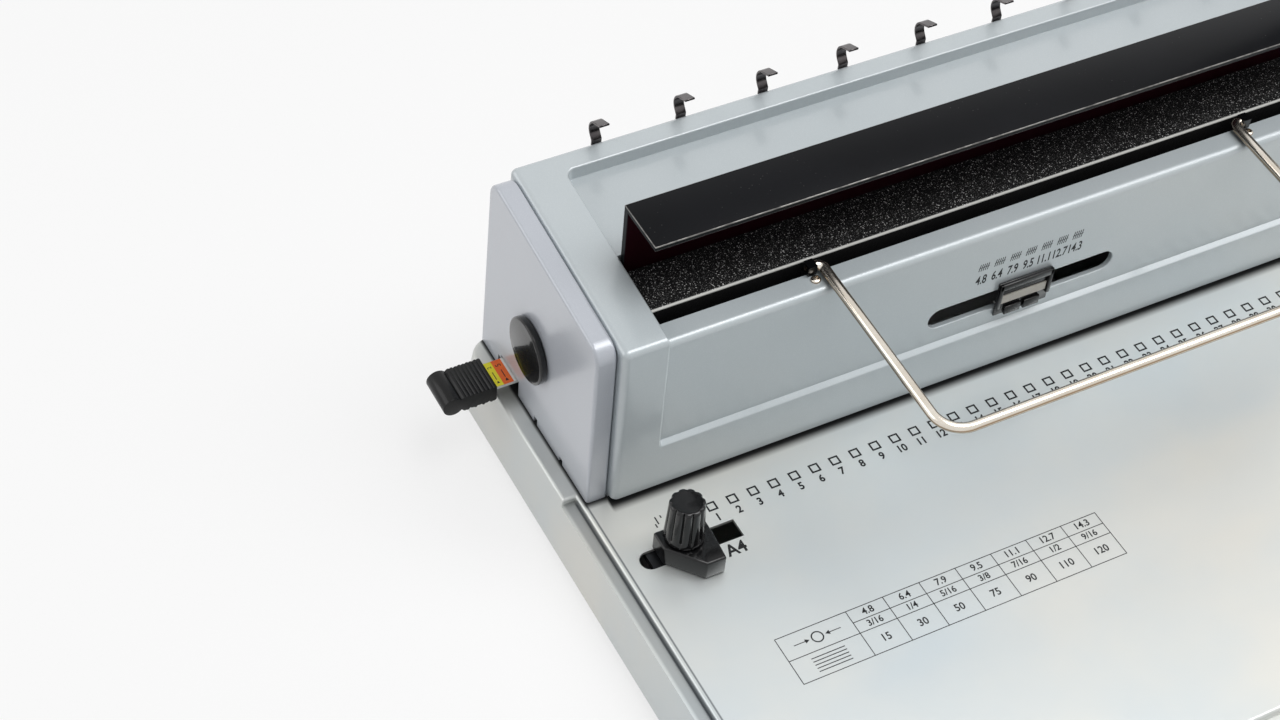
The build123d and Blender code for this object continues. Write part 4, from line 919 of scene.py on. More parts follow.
class GeometryBook(NodeBook):
    """Node book of a Geometry Nodes tree with named inputs."""

    def __init__(self, name: str, **inputs: str) -> None:
        """Starts a tree.

        Args:
            name: Name of the tree.
            **inputs: Name and socket type of each input after the geometry.
        """
        group = bpy.data.node_groups.new(name, "GeometryNodeTree")
        super().__init__(group)
        group.interface.new_socket("Geometry", in_out="INPUT", socket_type="NodeSocketGeometry")
        self.keys = {}
        for label, kind in inputs.items():
            socket = group.interface.new_socket(label, in_out="INPUT", socket_type=f"NodeSocket{kind}")
            self.keys[label] = socket.identifier
        group.interface.new_socket("Geometry", in_out="OUTPUT", socket_type="NodeSocketGeometry")
        self.given = self.add("NodeGroupInput")
        self.result = self.add("NodeGroupOutput")

    def value(self, label: str) -> Wire:
        """One of the tree's own inputs."""
        return Wire(self, self.given.outputs[label])

    def close(self, geometry: bpy.types.NodeSocket) -> None:
        """Ends the tree in Realize Instances and Set Material.

        Args:
            geometry: Output that holds the finished geometry.
        """
        real = self.add("GeometryNodeRealizeInstances", inputs={0: geometry})
        dressed = self.add("GeometryNodeSetMaterial",
                           inputs={"Geometry": real.outputs[0], "Material": self.value("Finish")})
        self.feed(self.result.inputs[0], dressed.outputs[0])

    def run(self, piece: bpy.types.Object, **values: Any) -> bpy.types.Object:
        """Runs the tree on a piece and keeps the result as its plain mesh.

        Args:
            piece: Object whose mesh goes in.
            **values: Values of the tree's inputs, by name.

        Returns:
            The same object.
        """
        modifier = piece.modifiers.new(self.tree.name, "NODES")
        modifier.node_group = self.tree
        for label, value in values.items():
            modifier[self.keys[label]] = value
        return baked(piece)


class CopyTree(GeometryBook):
    """Sets a copy of one piece on every point of a mesh, with a seeded random turn about Z."""

    def __init__(self) -> None:
        """Builds the tree."""
        super().__init__("copies_at_places", Piece="Object", Turn="Float", Seed="Int", Finish="Material")
        piece = self.add("GeometryNodeObjectInfo", inputs={"Object": self.value("Piece")})
        turn = self.add("FunctionNodeRandomValue", {"data_type": "FLOAT"},
                        {"Max": self.value("Turn"), "Seed": self.value("Seed")})
        angle = self.joined(0.0, 0.0, next(output for output in turn.outputs if output.enabled))
        copies = self.add("GeometryNodeInstanceOnPoints",
                          inputs={"Points": self.given.outputs[0], "Instance": piece.outputs["Geometry"],
                                  "Rotation": angle})
        self.close(copies.outputs[0])

    def lay(self, name: str, places: Sequence[Point], piece: bpy.types.Object,
            finish: bpy.types.Material, turn: float = 0.0, seed: int = 0) -> bpy.types.Object:
        """Copies a piece to every place as one object, and drops the single piece.

        Args:
            name: Name of the new object.
            places: Where the copies go.
            piece: The single piece, built about the origin.
            finish: Material of the copies.
            turn: Largest turn about Z, in radians.
            seed: Seed of the turns.

        Returns:
            The new object.
        """
        mesh = bpy.data.meshes.new(name)
        mesh.from_pydata(places, [], [])
        row = self.run(link(name, mesh), Piece=piece, Turn=turn, Seed=seed, Finish=finish)
        bpy.data.objects.remove(piece)
        return row


class FluteTree(GeometryBook):
    """Draws a round piece in along upright flutes, deepest between their low and high end."""

    LEAST_RADIUS = 1e-6
    RIM_SHARE = 0.16

    def __init__(self) -> None:
        """Builds the tree."""
        super().__init__("flutes", Count="Float", Depth="Float", Sharpness="Float", Low="Float",
                         High="Float", Fade="Float", Core="Float", Finish="Material")
        x, y, z = self.parts(self.add("GeometryNodeInputPosition").outputs[0])
        angle = y.apply("ARCTAN2", x)
        lobe = abs((angle * self.value("Count") / 2).apply("SINE"))
        groove = (1 - lobe) ** self.value("Sharpness")
        rise = ((z - self.value("Low")) / self.value("Fade")).fade(0.0, 1.0)
        fall = ((self.value("High") - z) / self.value("Fade")).fade(0.0, 1.0)
        radius = (x * x + y * y).apply("SQRT").larger(self.LEAST_RADIUS)
        rim = (radius / self.value("Core") - 1).fade(0.0, self.RIM_SHARE)
        factor = 1 - groove * self.value("Depth") * rise * fall * rim / radius
        moved = self.add("GeometryNodeSetPosition",
                         inputs={"Geometry": self.given.outputs[0],
                                 "Position": self.joined(x * factor, y * factor, z)})
        self.close(moved.outputs[0])


@dataclass(frozen=True)
class Face:
    """A flat face that prints lie on: its origin and its reading and upward directions."""

    origin: Point
    across: Point = (1.0, 0.0, 0.0)
    upward: Point = (0.0, 1.0, 0.0)

    def matrix(self) -> Matrix:
        """Transform from the print's own plane to the face.

        Returns:
            The transform.
        """
        across, upward = Vector(self.across), Vector(self.upward)
        turn = Matrix((across, upward, across.cross(upward))).transposed().to_4x4()
        return Matrix.Translation(self.origin) @ turn


@dataclass(frozen=True)
class Lettering:
    """Height of printed digits, the factor on their width and how far their strokes grow."""

    height: float
    narrow: float = 1.0
    bold: float = 0.0


class Print:
    """Collects thin raised marks on one face and joins them into one piece."""

    FILM = 0.00003
    DIGIT_SHARE = 0.71
    CURVE_STEPS = 3

    def __init__(self, face: Face) -> None:
        """Starts an empty print on a face."""
        self.face = face
        self.meshes: list[bpy.types.Mesh] = []

    def text(self, words: str, at: Pair, lettering: Lettering) -> None:
        """Adds digits or signs, centred on a place.

        Args:
            words: The digits.
            at: Place on the face.
            lettering: Their size and weight.
        """
        curve = bpy.data.curves.new("digits", "FONT")
        curve.body = words
        curve.size = lettering.height / self.DIGIT_SHARE
        curve.align_x = "CENTER"
        curve.align_y = "CENTER"
        curve.resolution_u = self.CURVE_STEPS
        curve.extrude = self.FILM / 2
        curve.offset = lettering.bold
        holder = link("digits", curve)
        mesh = plain_mesh(holder)
        bpy.data.objects.remove(holder)
        lift = Matrix.Translation((*at, self.FILM / 2))
        mesh.transform(lift @ Matrix.Diagonal((lettering.narrow, 1, 1, 1)))
        tidy(mesh)
        self.meshes.append(mesh)

    def block(self, x0: float, x1: float, y0: float, y1: float) -> None:
        """Adds a filled rectangle."""
        self.meshes.append(bar(x0, x1, y0, y1, 0.0, self.FILM))

    def line(self, start: Pair, end: Pair, width: float) -> None:
        """Adds a straight line.

        Args:
            start: One end on the face.
            end: The other end.
            width: Width of the line.
        """
        a, b = Vector(start), Vector(end)
        side = (b - a).orthogonal().normalized() * width / 2
        self.outline([a + side, b + side, b - side, a - side])

    def outline(self, corners: Sequence[Sequence[float]]) -> None:
        """Adds a filled outline of any corners."""
        rings = [[(x, y, z) for x, y in corners] for z in (0.0, self.FILM)]
        self.meshes.append(lofted("outline", rings))

    def finish(self, name: str, material: bpy.types.Material) -> bpy.types.Object:
        """Joins the marks on the face into one object.

        Args:
            name: Name of the object.
            material: Its material.

        Returns:
            The object.
        """
        mesh = merged(name, self.meshes)
        mesh.transform(self.face.matrix())
        mesh.materials.append(material)
        return link(name, mesh)


class Body(Enum):
    """Bodies of the frame that dressed pieces ride on."""

    housing = "housing"
    lever = "lever"
    closer = "closer"
    selector = "selector"
    margin = "margin"
    sheet_guide = "sheet_guide"
    clamp_knob = "clamp_knob"


def settle(piece: bpy.types.Object, body: Body, slot: Slot, *replaced: str) -> None:
    """Lets a piece ride on a body and hides the CAD nodes that it stands for.

    Args:
        piece: The finished piece.
        body: Body that it rides on.
        slot: Not used.
        *replaced: Names of the CAD nodes that it takes the place of.
    """
    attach(piece, body.value)
    if replaced:
        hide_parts(*replaced)
    LOG.info("%s: %d faces on %s", piece.name, len(piece.data.polygons), body.value)


@dataclass(frozen=True)
class Lamp:
    """A soft rectangular lamp that hangs at a place and faces a point."""

    name: str
    place: Point
    aim: Point
    size: Pair
    watts: float

    def build(self) -> None:
        """Adds the lamp to the scene."""
        data = bpy.data.lights.new(self.name, "AREA")
        data.shape = "RECTANGLE"
        data.size, data.size_y = self.size
        data.energy = self.watts
        lamp = link(self.name, data)
        lamp.location = self.place
        facing = Vector(self.aim) - Vector(self.place)
        lamp.rotation_euler = facing.to_track_quat("-Z", "Y").to_euler()


@dataclass
class Studio:
    """Camera, lamps, world and floor."""

    camera_place: Point = (-0.45252, -0.42716, 0.70220)
    camera_turn: Point = (0.7396394, -0.0620713, -0.4806020)
    focal_pixels: float = 2461.31
    sensor: float = 36.0
    nearest: float = 0.01
    lamps: tuple[Lamp, ...] = (
        Lamp("overhead", (0.15, -0.1, 1.5), (0.0, 0.05, 0.08), (1.0, 0.55), 8.4),
        Lamp("right_strip", (0.75, -0.3, 1.2), (0.05, 0.04, 0.1), (0.7, 1.0), 6.5),
        Lamp("left_wall", (-1.2, 0.6, 0.7), (-0.1, 0.08, 0.1), (1.0, 0.8), 3.8))
    ambient: float = 0.30
    floor_half: float = 4.0
    floor_tones: tuple[Colour, Colour] = (tone(244, 244, 244), tone(250, 250, 250))
    floor_roughness: float = 0.9
    floor_grain_scale: float = 900.0
    floor_glow: float = 0.72
    white: Colour = (1.0, 1.0, 1.0)

    def build(self) -> None:
        """Sets up the whole studio."""
        self.camera()
        self.world()
        self.floor()
        for lamp in self.lamps:
            lamp.build()
        bpy.context.scene.view_settings.view_transform = "Standard"

    def camera(self) -> None:
        """Places the camera where the photograph was taken."""
        data = bpy.data.cameras.new("photo_camera")
        data.sensor_width = self.sensor
        data.lens = self.focal_pixels * self.sensor / PHOTO_WIDTH
        data.clip_start = self.nearest
        camera = link("photo_camera", data)
        camera.location = self.camera_place
        camera.rotation_euler = Euler(self.camera_turn)
        bpy.context.scene.camera = camera

    @staticmethod
    def seen(book: NodeBook) -> Wire:
        """1 for rays that come straight from the camera, a mirror or glass.

        Args:
            book: Book of the tree that asks.

        Returns:
            The value.
        """
        path = book.add("ShaderNodeLightPath")
        rays = [Wire(book, path.outputs[f"Is {kind} Ray"]) for kind in ("Camera", "Glossy", "Transmission")]
        return rays[0].larger(rays[1]).larger(rays[2])

    def world(self) -> None:
        """Plain white surroundings, dimmer as a light source."""
        world = bpy.data.worlds.new("studio")
        bpy.context.scene.world = world
        world.use_nodes = True
        world.node_tree.nodes.clear()
        book = NodeBook(world.node_tree)
        strength = self.seen(book) * (1 - self.ambient) + self.ambient
        background = book.add("ShaderNodeBackground", inputs={"Color": self.white, "Strength": strength})
        book.add("ShaderNodeOutputWorld", inputs={"Surface": background.outputs[0]})

    def floor(self) -> None:
        """White floor that keeps the shadow of the machine."""
        half = self.floor_half
        corners = [(-half, -half, 0.0), (half, -half, 0.0), (half, half, 0.0), (-half, half, 0.0)]
        mesh = bpy.data.meshes.new("floor")
        mesh.from_pydata(corners, [], [range(len(corners))])
        book = SurfaceBook("floor_paper")
        paper = book.blend(book.noise(self.floor_grain_scale), *self.floor_tones)
        book.surface(Base_Color=paper, Roughness=self.floor_roughness)
        glow = book.add("ShaderNodeEmission", inputs={"Color": self.white, "Strength": 1.0})
        mixed = book.add("ShaderNodeMixShader",
                         inputs={0: self.seen(book) * self.floor_glow, 1: book.shader.outputs[0],
                                 2: glow.outputs[0]})
        book.feed(book.output.inputs["Surface"], mixed.outputs[0])
        mesh.materials.append(book.material)
        link("floor", mesh)


@dataclass
class BasePrint:
    """Hole squares, their numbers, the size table and the guide marks on the base."""

    finishes: Finishes
    copies: CopyTree
    hole_count: int = 34
    row_y: float = 0.0275
    square_side: float = 0.0039
    square_line: float = 0.00070
    number_y: float = 0.0222
    numbers: Lettering = Lettering(0.0032, 0.92, 0.00014)
    guide_words: str = "A4"
    guide_place: Pair = (-0.1408, 0.0072)
    guide_letters: Lettering = Lettering(0.0050, 0.95, 0.00016)
    strokes: tuple[tuple[float, float, float], ...] = (
        (-0.16035, 0.0282, 0.0316), (-0.1615, 0.0270, 0.0287), (-0.1583, 0.0304, 0.0316))
    stroke_width: float = 0.0005
    table_left: float = -0.1481
    table_head: float = -0.1201
    table_step: float = 0.01485
    table_rows: tuple[float, ...] = (-0.0324, -0.0376, -0.0423, -0.0524)
    table_line: float = 0.0003
    size_digits: Lettering = Lettering(0.0028, 0.95, 0.00007)
    fractions: tuple[str, ...] = ("3/16", "1/4", "5/16", "3/8", "7/16", "1/2", "9/16")
    fraction_digits: Lettering = Lettering(0.0026, 0.95, 0.00007)
    counts: tuple[str, ...] = ("15", "30", "50", "75", "90", "110", "120")
    count_digits: Lettering = Lettering(0.0030, 0.95, 0.00007)
    ring_radius: float = 0.0021
    ring_sides: int = 20
    ring_line: float = 0.0005
    arrow_line: float = 0.0003
    arrow_tail: float = 0.0092
    arrow_neck: float = 0.0046
    arrow_barb: float = 0.0048
    arrow_tip: float = 0.0031
    arrow_half: float = 0.0009
    sheet_count: int = 5
    sheet_step: float = 0.0014
    sheet_half: float = 0.0066
    sheet_line: float = 0.00035

    def build(self) -> None:
        """Prints everything on the base."""
        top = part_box("base_pan")[1].z
        ink = self.finishes.get(Trim.ink)
        start = -(self.hole_count - 1) / 2 * HOLE_PITCH
        places = [(start + i * HOLE_PITCH, self.row_y, top) for i in range(self.hole_count)]
        squares = self.copies.lay("hole_squares", places, self.square(), ink)
        settle(squares, Body.housing, Slot.black_enamel)
        marks = Print(Face((0.0, 0.0, top)))
        for number, place in enumerate(places, start=1):
            marks.text(str(number), (place[0], self.number_y), self.numbers)
        marks.text(self.guide_words, self.guide_place, self.guide_letters)
        for x, low, high in self.strokes:
            marks.line((x, low), (x, high), self.stroke_width)
        settle(marks.finish("base_numbers", ink), Body.housing, Slot.black_enamel)
        table = Print(Face((0.0, 0.0, top)))
        self.rule(table)
        settle(table.finish("size_table", ink), Body.housing, Slot.black_enamel)

    def square(self) -> bpy.types.Object:
        """One printed square, as a thin frame about the origin.

        Returns:
            The object.
        """
        outer = self.square_side / 2
        corners = ((-1, -1), (1, -1), (1, 1), (-1, 1))
        count = len(corners)
        points = [(x * reach, y * reach, z) for z in (0.0, Print.FILM)
                  for reach in (outer, outer - self.square_line) for x, y in corners]
        rings = [range(start, start + count) for start in range(0, len(points), count)]
        low_outer, low_inner, high_outer, high_inner = rings
        faces = []
        for first, second in ((low_outer, low_inner), (high_outer, high_inner),
                              (low_outer, high_outer), (low_inner, high_inner)):
            for i in range(count):
                j = (i + 1) % count
                faces.append((first[i], first[j], second[j], second[i]))
        return link("square", mesh_of("square", points, faces))

    def rule(self, marks: Print) -> None:
        """Draws the table with its plain numbers and two picture marks.

        Args:
            marks: Print that takes them.
        """
        top, middle, low, foot = self.table_rows
        columns = [self.table_head + i * self.table_step for i in range(len(WIRE_SIZES) + 1)]
        half = self.table_line / 2
        for y in self.table_rows:
            left = self.table_head if y == middle else self.table_left
            marks.block(left - half, columns[-1] + half, y - half, y + half)
        for x in [self.table_left, *columns]:
            marks.block(x - half, x + half, foot, top)
        for high, under, digits, words in ((top, middle, self.size_digits, WIRE_SIZES),
                                           (middle, low, self.fraction_digits, self.fractions),
                                           (low, foot, self.count_digits, self.counts)):
            for left, word in zip(columns, words):
                marks.text(word, (left + self.table_step / 2, (high + under) / 2), digits)
        centre = (self.table_left + self.table_head) / 2
        self.loop_mark(marks, centre, (top + low) / 2)
        self.stack_mark(marks, centre, (low + foot) / 2)

    def loop_mark(self, marks: Print, x: float, y: float) -> None:
        """Ring between two arrows, for the width of a wire loop.

        Args:
            marks: Print that takes it.
            x: Centre across.
            y: Centre upwards.
        """
        turns = [math.tau * i / self.ring_sides for i in range(self.ring_sides + 1)]
        ring = [(x + self.ring_radius * math.cos(a), y + self.ring_radius * math.sin(a)) for a in turns]
        for start, end in zip(ring, ring[1:]):
            marks.line(start, end, self.ring_line)
        for side in (-1, 1):
            marks.line((x + side * self.arrow_tail, y), (x + side * self.arrow_neck, y), self.arrow_line)
            barb = x + side * self.arrow_barb
            marks.outline([(x + side * self.arrow_tip, y), (barb, y + self.arrow_half),
                           (barb, y - self.arrow_half)])

    def stack_mark(self, marks: Print, x: float, y: float) -> None:
        """Stack of sheets seen from its edge.

        Args:
            marks: Print that takes it.
            x: Centre across.
            y: Centre upwards.
        """
        for level in range(self.sheet_count):
            height = y + (level - (self.sheet_count - 1) / 2) * self.sheet_step
            marks.line((x - self.sheet_half, height), (x + self.sheet_half, height), self.sheet_line)


@dataclass
class PanelPrint:
    """Scale of wire sizes above the selector and the pointer beside the margin slider."""

    finishes: Finishes
    first_x: float = -0.0242
    step: float = 0.0068
    number_z: float = 0.0776
    numbers: Lettering = Lettering(0.0044, 0.62, 0.00012)
    comb_z: float = 0.0843
    comb_height: float = 0.0034
    comb_growth: float = 0.00008
    loops: int = 5
    loop_step: float = 0.0009
    loop_line: float = 0.00034
    loop_lean: Pair = (-0.0002, 0.0003)
    spine_line: float = 0.00026
    spine_loops: Pair = (-2.4, 2.6)
    pointer: tuple[Pair, ...] = ((-0.1199, 0.0287), (-0.1145, 0.0338), (-0.1195, 0.0338))

    def build(self) -> None:
        """Prints the scale on the sunk panel and the pointer on the left cap."""
        ink = self.finishes.get(Trim.ink)
        scale = Print(Face((0.0, PANEL_FACE, 0.0), upward=(0.0, 0.0, 1.0)))
        for index, size in enumerate(WIRE_SIZES):
            x = self.first_x + index * self.step
            scale.text(size, (x, self.number_z), self.numbers)
            self.comb(scale, x, self.comb_height + index * self.comb_growth)
        settle(scale.finish("selector_scale", ink), Body.housing, Slot.black_enamel)
        cap_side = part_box("left_end_cap")[0].x
        side = Print(Face((cap_side, 0.0, 0.0), (0.0, -1.0, 0.0), (0.0, 0.0, 1.0)))
        side.outline(self.pointer)
        settle(side.finish("margin_pointer", ink), Body.housing, Slot.black_enamel)

    def comb(self, scale: Print, x: float, height: float) -> None:
        """Small row of slanted wire loops on a spine, seen from the side.

        Args:
            scale: Print that takes it.
            x: Middle of the row.
            height: Height of the loops.
        """
        low, high = self.comb_z - height / 2, self.comb_z + height / 2
        foot, head = self.loop_lean
        for loop in range(self.loops):
            place = x + (loop - (self.loops - 1) / 2) * self.loop_step
            scale.line((place + foot, low), (place + head, high), self.loop_line)
        left, right = (x + share * self.loop_step for share in self.spine_loops)
        scale.line((left, self.comb_z), (right, self.comb_z), self.spine_line)


@dataclass
class SelectorKnob:
    """Sliding selector with a raised rim, a grey window bar and a grooved block below."""

    finishes: Finishes
    running_gap: float = 0.0001
    lap: float = 0.0002
    rim: float = 0.0017
    top_rim: float = 0.0030
    sunk: float = 0.0011
    block_top: float = 0.0600
    block_inset: float = 0.0040
    groove_half: float = 0.0006
    stem_half: float = 0.007
    stem_heights: Pair = (0.0598, 0.0683)
    stem_lap: float = 0.0003
    edge_round: float = 0.0004
    window_heights: Pair = (0.0618, 0.0659)
    window_rise: float = 0.0005
    window_round: float = 0.0002

    def build(self) -> None:
        """Builds the knob in the place of the CAD one, and its window bar."""
        low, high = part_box("selector_knob")
        knob = link("selector_knob_rimmed", merged("selector_knob", self.blocks(low, high)))
        softened(knob, self.edge_round)
        knob.data.materials.append(self.finishes.get(Slot.black_plastic))
        settle(knob, Body.selector, Slot.black_plastic, "selector_knob")
        inset, floor = self.rim + self.lap, low.y + self.sunk
        bar_mesh = bar(low.x + inset, high.x - inset, floor - self.window_rise, floor + self.lap,
                       *self.window_heights)
        pane = softened(link("selector_window", bar_mesh), self.window_round, 1)
        pane.data.materials.append(self.finishes.get(Trim.warm_grey))
        settle(pane, Body.selector, Slot.slider_white)

    def blocks(self, low: Vector, high: Vector) -> list[bpy.types.Mesh]:
        """Blocks that make up the knob and its stem.

        Args:
            low: Lowest corner of the CAD knob.
            high: Its highest corner.

        Returns:
            One mesh for each block.
        """
        left, right, front = low.x, high.x, low.y
        back = PANEL_FACE - self.running_gap
        middle = (left + right) / 2
        floor = front + self.sunk
        root = floor + self.lap
        rims = ((left, left + self.rim), (right - self.rim, right))
        halves = ((left + self.block_inset, middle - self.groove_half),
                  (middle + self.groove_half, right - self.block_inset))
        return [bar(left, right, floor, back, low.z, high.z),
                bar(left, right, front, root, high.z - self.top_rim, high.z),
                *(bar(x0, x1, front, root, self.block_top, high.z) for x0, x1 in rims),
                *(bar(x0, x1, front, root, low.z, self.block_top) for x0, x1 in halves),
                bar(middle - self.stem_half, middle + self.stem_half, back - self.stem_lap, high.y,
                    *self.stem_heights)]


@dataclass
class HookRow:
    """Spring hooks over the back edge, with the strip that carries them."""

    finishes: Finishes
    copies: CopyTree
    count: int = 9
    pitch: float = 4 * HOLE_PITCH
    middle: float = -0.0014
    width: float = 0.004
    sheet: float = 0.0008
    edge: Pair = (0.1321, 0.11405)
    lean: float = math.radians(1.4645)
    leg: float = 0.0022
    leg_lean: float = math.radians(40.0)
    bend: float = 0.0041
    bend_steps: int = 14
    turn: float = math.radians(106.0)
    tab: float = 0.0052
    strip_drop: float = 0.003
    strip_height: float = 0.014
    strip_half: float = 0.146
    edge_round: float = 0.00016

    def build(self) -> None:
        """Builds the strip and its hooks as one piece."""
        finish = self.finishes.get(Slot.spring_steel)
        hook = softened(link("hook", self.hook()), self.edge_round, 1)
        start = self.middle - self.pitch * (self.count - 1) / 2
        places = [(start + i * self.pitch, 0.0, 0.0) for i in range(self.count)]
        row = self.copies.lay("hook_row", places, hook, finish)
        band = bar(-self.strip_half, self.strip_half, 0.0, self.sheet,
                   -self.strip_drop - self.strip_height, -self.strip_drop)
        strip = softened(link("strip", band), self.edge_round, 1)
        row.data = merged("hook_row", [row.data, strip.data])
        bpy.data.objects.remove(strip)
        row.data.materials.append(finish)
        row.data.transform(Matrix.Translation((0.0, *self.edge)) @ Matrix.Rotation(self.lean, 4, "X"))
        settle(row, Body.housing, Slot.spring_steel, "hook_strip")

    def hook(self) -> bpy.types.Mesh:
        """One hook about X = 0: a leg, a round bend and a tab that rises to the front.

        Returns:
            The mesh.
        """
        centre = self.sheet / 2
        line = [Vector((centre, -self.strip_drop - self.sheet)), Vector((centre, 0.0))]
        heading = self.leg_lean
        stretches = [(self.leg, 0.0)]
        half_step = self.turn / self.bend_steps / 2
        stride = 2 * (self.bend + centre) * math.sin(half_step)
        stretches += [(stride, half_step)] * self.bend_steps
        stretches.append((self.tab, 0.0))
        for length, bend in stretches:
            heading -= bend
            line.append(line[-1] + length * Vector((math.sin(heading), math.cos(heading))))
            heading -= bend
        rings = []
        half = self.width / 2
        for index, point in enumerate(line):
            along = line[min(index + 1, len(line) - 1)] - line[max(index - 1, 0)]
            side = Vector((along.y, -along.x)).normalized() * centre
            low, high = point - side, point + side
            rings.append([(-half, *low), (half, *low), (half, *high), (-half, *high)])
        return lofted("hook", rings)


@dataclass(frozen=True)
class BandMark:
    """Digit and arrow on one coloured band, at a distance from the machine's middle."""

    digit: str
    place: float
    digit_height: float
    arrow_size: float


@dataclass
class MarginGrip:
    """Ribbed grip at the end of the margin slider, with its coloured bands."""

    finishes: Finishes
    low: float = 0.0284
    high: float = 0.0361
    left: float = -0.2087
    right: float = -0.1874
    front: float = 0.1036
    back: float = 0.1190
    bead: float = 0.0041
    bead_lap: float = 0.0006
    bead_open: float = math.radians(40.0)
    bead_steps: int = 28
    ribs: int = 9
    rib_steps: int = 8
    rib_depth: float = 0.0004
    rib_power: int = 3
    waves: int = 4
    wave_depth: float = 0.0002
    under_waves: float = 3.0
    edge_round: float = 0.0006
    edge_steps: int = 3
    edge_angle: float = 60.0
    tongue: Pair = (0.1037, 0.1160)
    tongue_top: float = 0.0355
    band_ends: tuple[float, ...] = (-0.1874, -0.18455, -0.1806, -0.1798)
    band_trims: tuple[Trim, ...] = (Trim.yellow, Trim.orange, Trim.white)
    band_inset: float = 0.0001
    band_film: float = 0.00006
    marks: tuple[BandMark, ...] = (BandMark("2", 0.18605, 0.0016, 0.0011),
                                   BandMark("5", 0.18255, 0.0021, 0.0014))
    digit_y: float = 0.1132
    arrow_y: float = 0.1052
    shaft: Pair = (0.1070, 0.1108)
    shaft_line: float = 0.0003

    def build(self) -> None:
        """Builds the grip, the bands on the tongue and their marks."""
        grip = link("margin_grip_ribbed", self.body())
        softened(grip, self.edge_round, self.edge_steps, self.edge_angle)
        grip.data.materials.append(self.finishes.get(Slot.black_rubber))
        settle(grip, Body.margin, Slot.black_rubber, "margin_grip")
        film_top = self.tongue_top + self.band_film
        self.bands(film_top)
        self.band_marks(film_top)

    def bands(self, film_top: float) -> None:
        """Lays the coloured bands on the tongue.

        Args:
            film_top: Height of their upper face.
        """
        front, back = self.tongue
        for trim, x0, x1 in zip(self.band_trims, self.band_ends, self.band_ends[1:]):
            mesh = bar(x0, x1, front + self.band_inset, back - self.band_inset, self.tongue_top, film_top)
            mesh.materials.append(self.finishes.get(trim))
            settle(link(f"margin_band_{trim.name}", mesh), Body.margin, Slot.slider_white)

    def band_marks(self, film_top: float) -> None:
        """Prints a digit and an arrow on the two large bands.

        Args:
            film_top: Height of the bands' upper face.
        """
        marks = Print(Face((0.0, 0.0, film_top), (0.0, 1.0, 0.0), (-1.0, 0.0, 0.0)))
        for mark in self.marks:
            marks.text(mark.digit, (self.digit_y, mark.place), Lettering(mark.digit_height))
            half = mark.arrow_size / 2
            marks.outline([(self.arrow_y, mark.place + half), (self.arrow_y + mark.arrow_size, mark.place),
                           (self.arrow_y, mark.place - half)])
            marks.line(*((y, mark.place) for y in self.shaft), self.shaft_line)
        ink = self.finishes.get(Trim.ink)
        settle(marks.finish("margin_band_marks", ink), Body.margin, Slot.black_enamel)

    def body(self) -> bpy.types.Mesh:
        """Side outline with waves above and below and a bead at the end, drawn out along Y.

        Returns:
            The mesh.
        """
        start = self.left + 2 * self.bead - self.bead_lap
        steps = self.ribs * self.rib_steps
        top, under = [], []
        for index in range(steps + 1):
            share = index / steps
            x = start + (self.right - start) * share
            rib = self.rib_depth * crest(share * self.ribs) ** self.rib_power
            wave = self.wave_depth * crest(share * self.waves)
            top.append((x, self.high - rib - wave))
            under.append((x, self.low + rib + self.under_waves * wave))
        sweep = math.tau - 2 * self.bead_open
        turns = [self.bead_open + sweep * i / self.bead_steps for i in range(self.bead_steps + 1)]
        centre_x, centre_z = self.left + self.bead, self.low + self.bead
        arc = [(centre_x + self.bead * math.cos(a), centre_z + self.bead * math.sin(a)) for a in turns]
        outline = top[::-1] + arc + under
        return lofted("margin_grip", [[(x, y, z) for x, z in outline] for y in (self.front, self.back)])


@dataclass
class ClampKnob:
    """Fluted knob that clamps the edge guide."""

    finishes: Finishes
    flutes: FluteTree
    centre: Pair = (-0.1584, 0.0146)
    bore_radius: float = 0.0026
    foot_radius: float = 0.00725
    foot_round: float = 0.0004
    foot_height: float = 0.0012
    top_radius: float = 0.0064
    top_round: float = 0.0011
    top_steps: int = 6
    wall_steps: int = 26
    dish: tuple[Pair, ...] = ((0.0049, 0.00002), (0.0036, 0.00006), (0.0020, 0.0001), (0.0004, 0.0001))
    segments: int = 264
    count: int = 11
    depth: float = 0.0009
    sharpness: float = 1.7
    flute_low: float = 0.0014
    flute_over: float = 0.0016
    flute_fade: float = 0.0016
    flute_core: float = 0.0053
    crisp_angle: float = 50.0

    def build(self) -> None:
        """Builds the knob in the place of the CAD one."""
        low, high = (corner.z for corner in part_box("guide_knob"))
        height = high - low
        knob = link("guide_knob_fluted", turned("guide_knob", self.profile(height), self.segments))
        self.flutes.run(knob, Count=float(self.count), Depth=self.depth, Sharpness=self.sharpness,
                        Low=self.flute_low, High=height + self.flute_over, Fade=self.flute_fade,
                        Core=self.flute_core, Finish=self.finishes.get(Slot.black_gloss))
        knob.data.transform(Matrix.Translation((*self.centre, low)))
        smooth(knob.data)
        sharpen(knob, self.crisp_angle)
        settle(knob, Body.clamp_knob, Slot.black_gloss, "guide_knob")

    def profile(self, height: float) -> list[Pair]:
        """Half outline of the knob.

        Args:
            height: Height of the knob.

        Returns:
            Pairs of a radius and a height, from the bore at the foot to the middle of the top.
        """
        line = [(self.bore_radius, 0.0), (self.foot_radius - self.foot_round, 0.0),
                (self.foot_radius, self.foot_round)]
        shoulder = height - self.top_round
        for index in range(1, self.wall_steps + 1):
            share = index / self.wall_steps
            line.append((self.foot_radius + (self.top_radius - self.foot_radius) * share,
                         self.foot_height + (shoulder - self.foot_height) * share))
        line += [(self.top_radius + self.top_round * (across - 1), shoulder + self.top_round * up)
                 for across, up in quarter(self.top_steps)]
        return line + [(radius, height - depth) for radius, depth in self.dish]


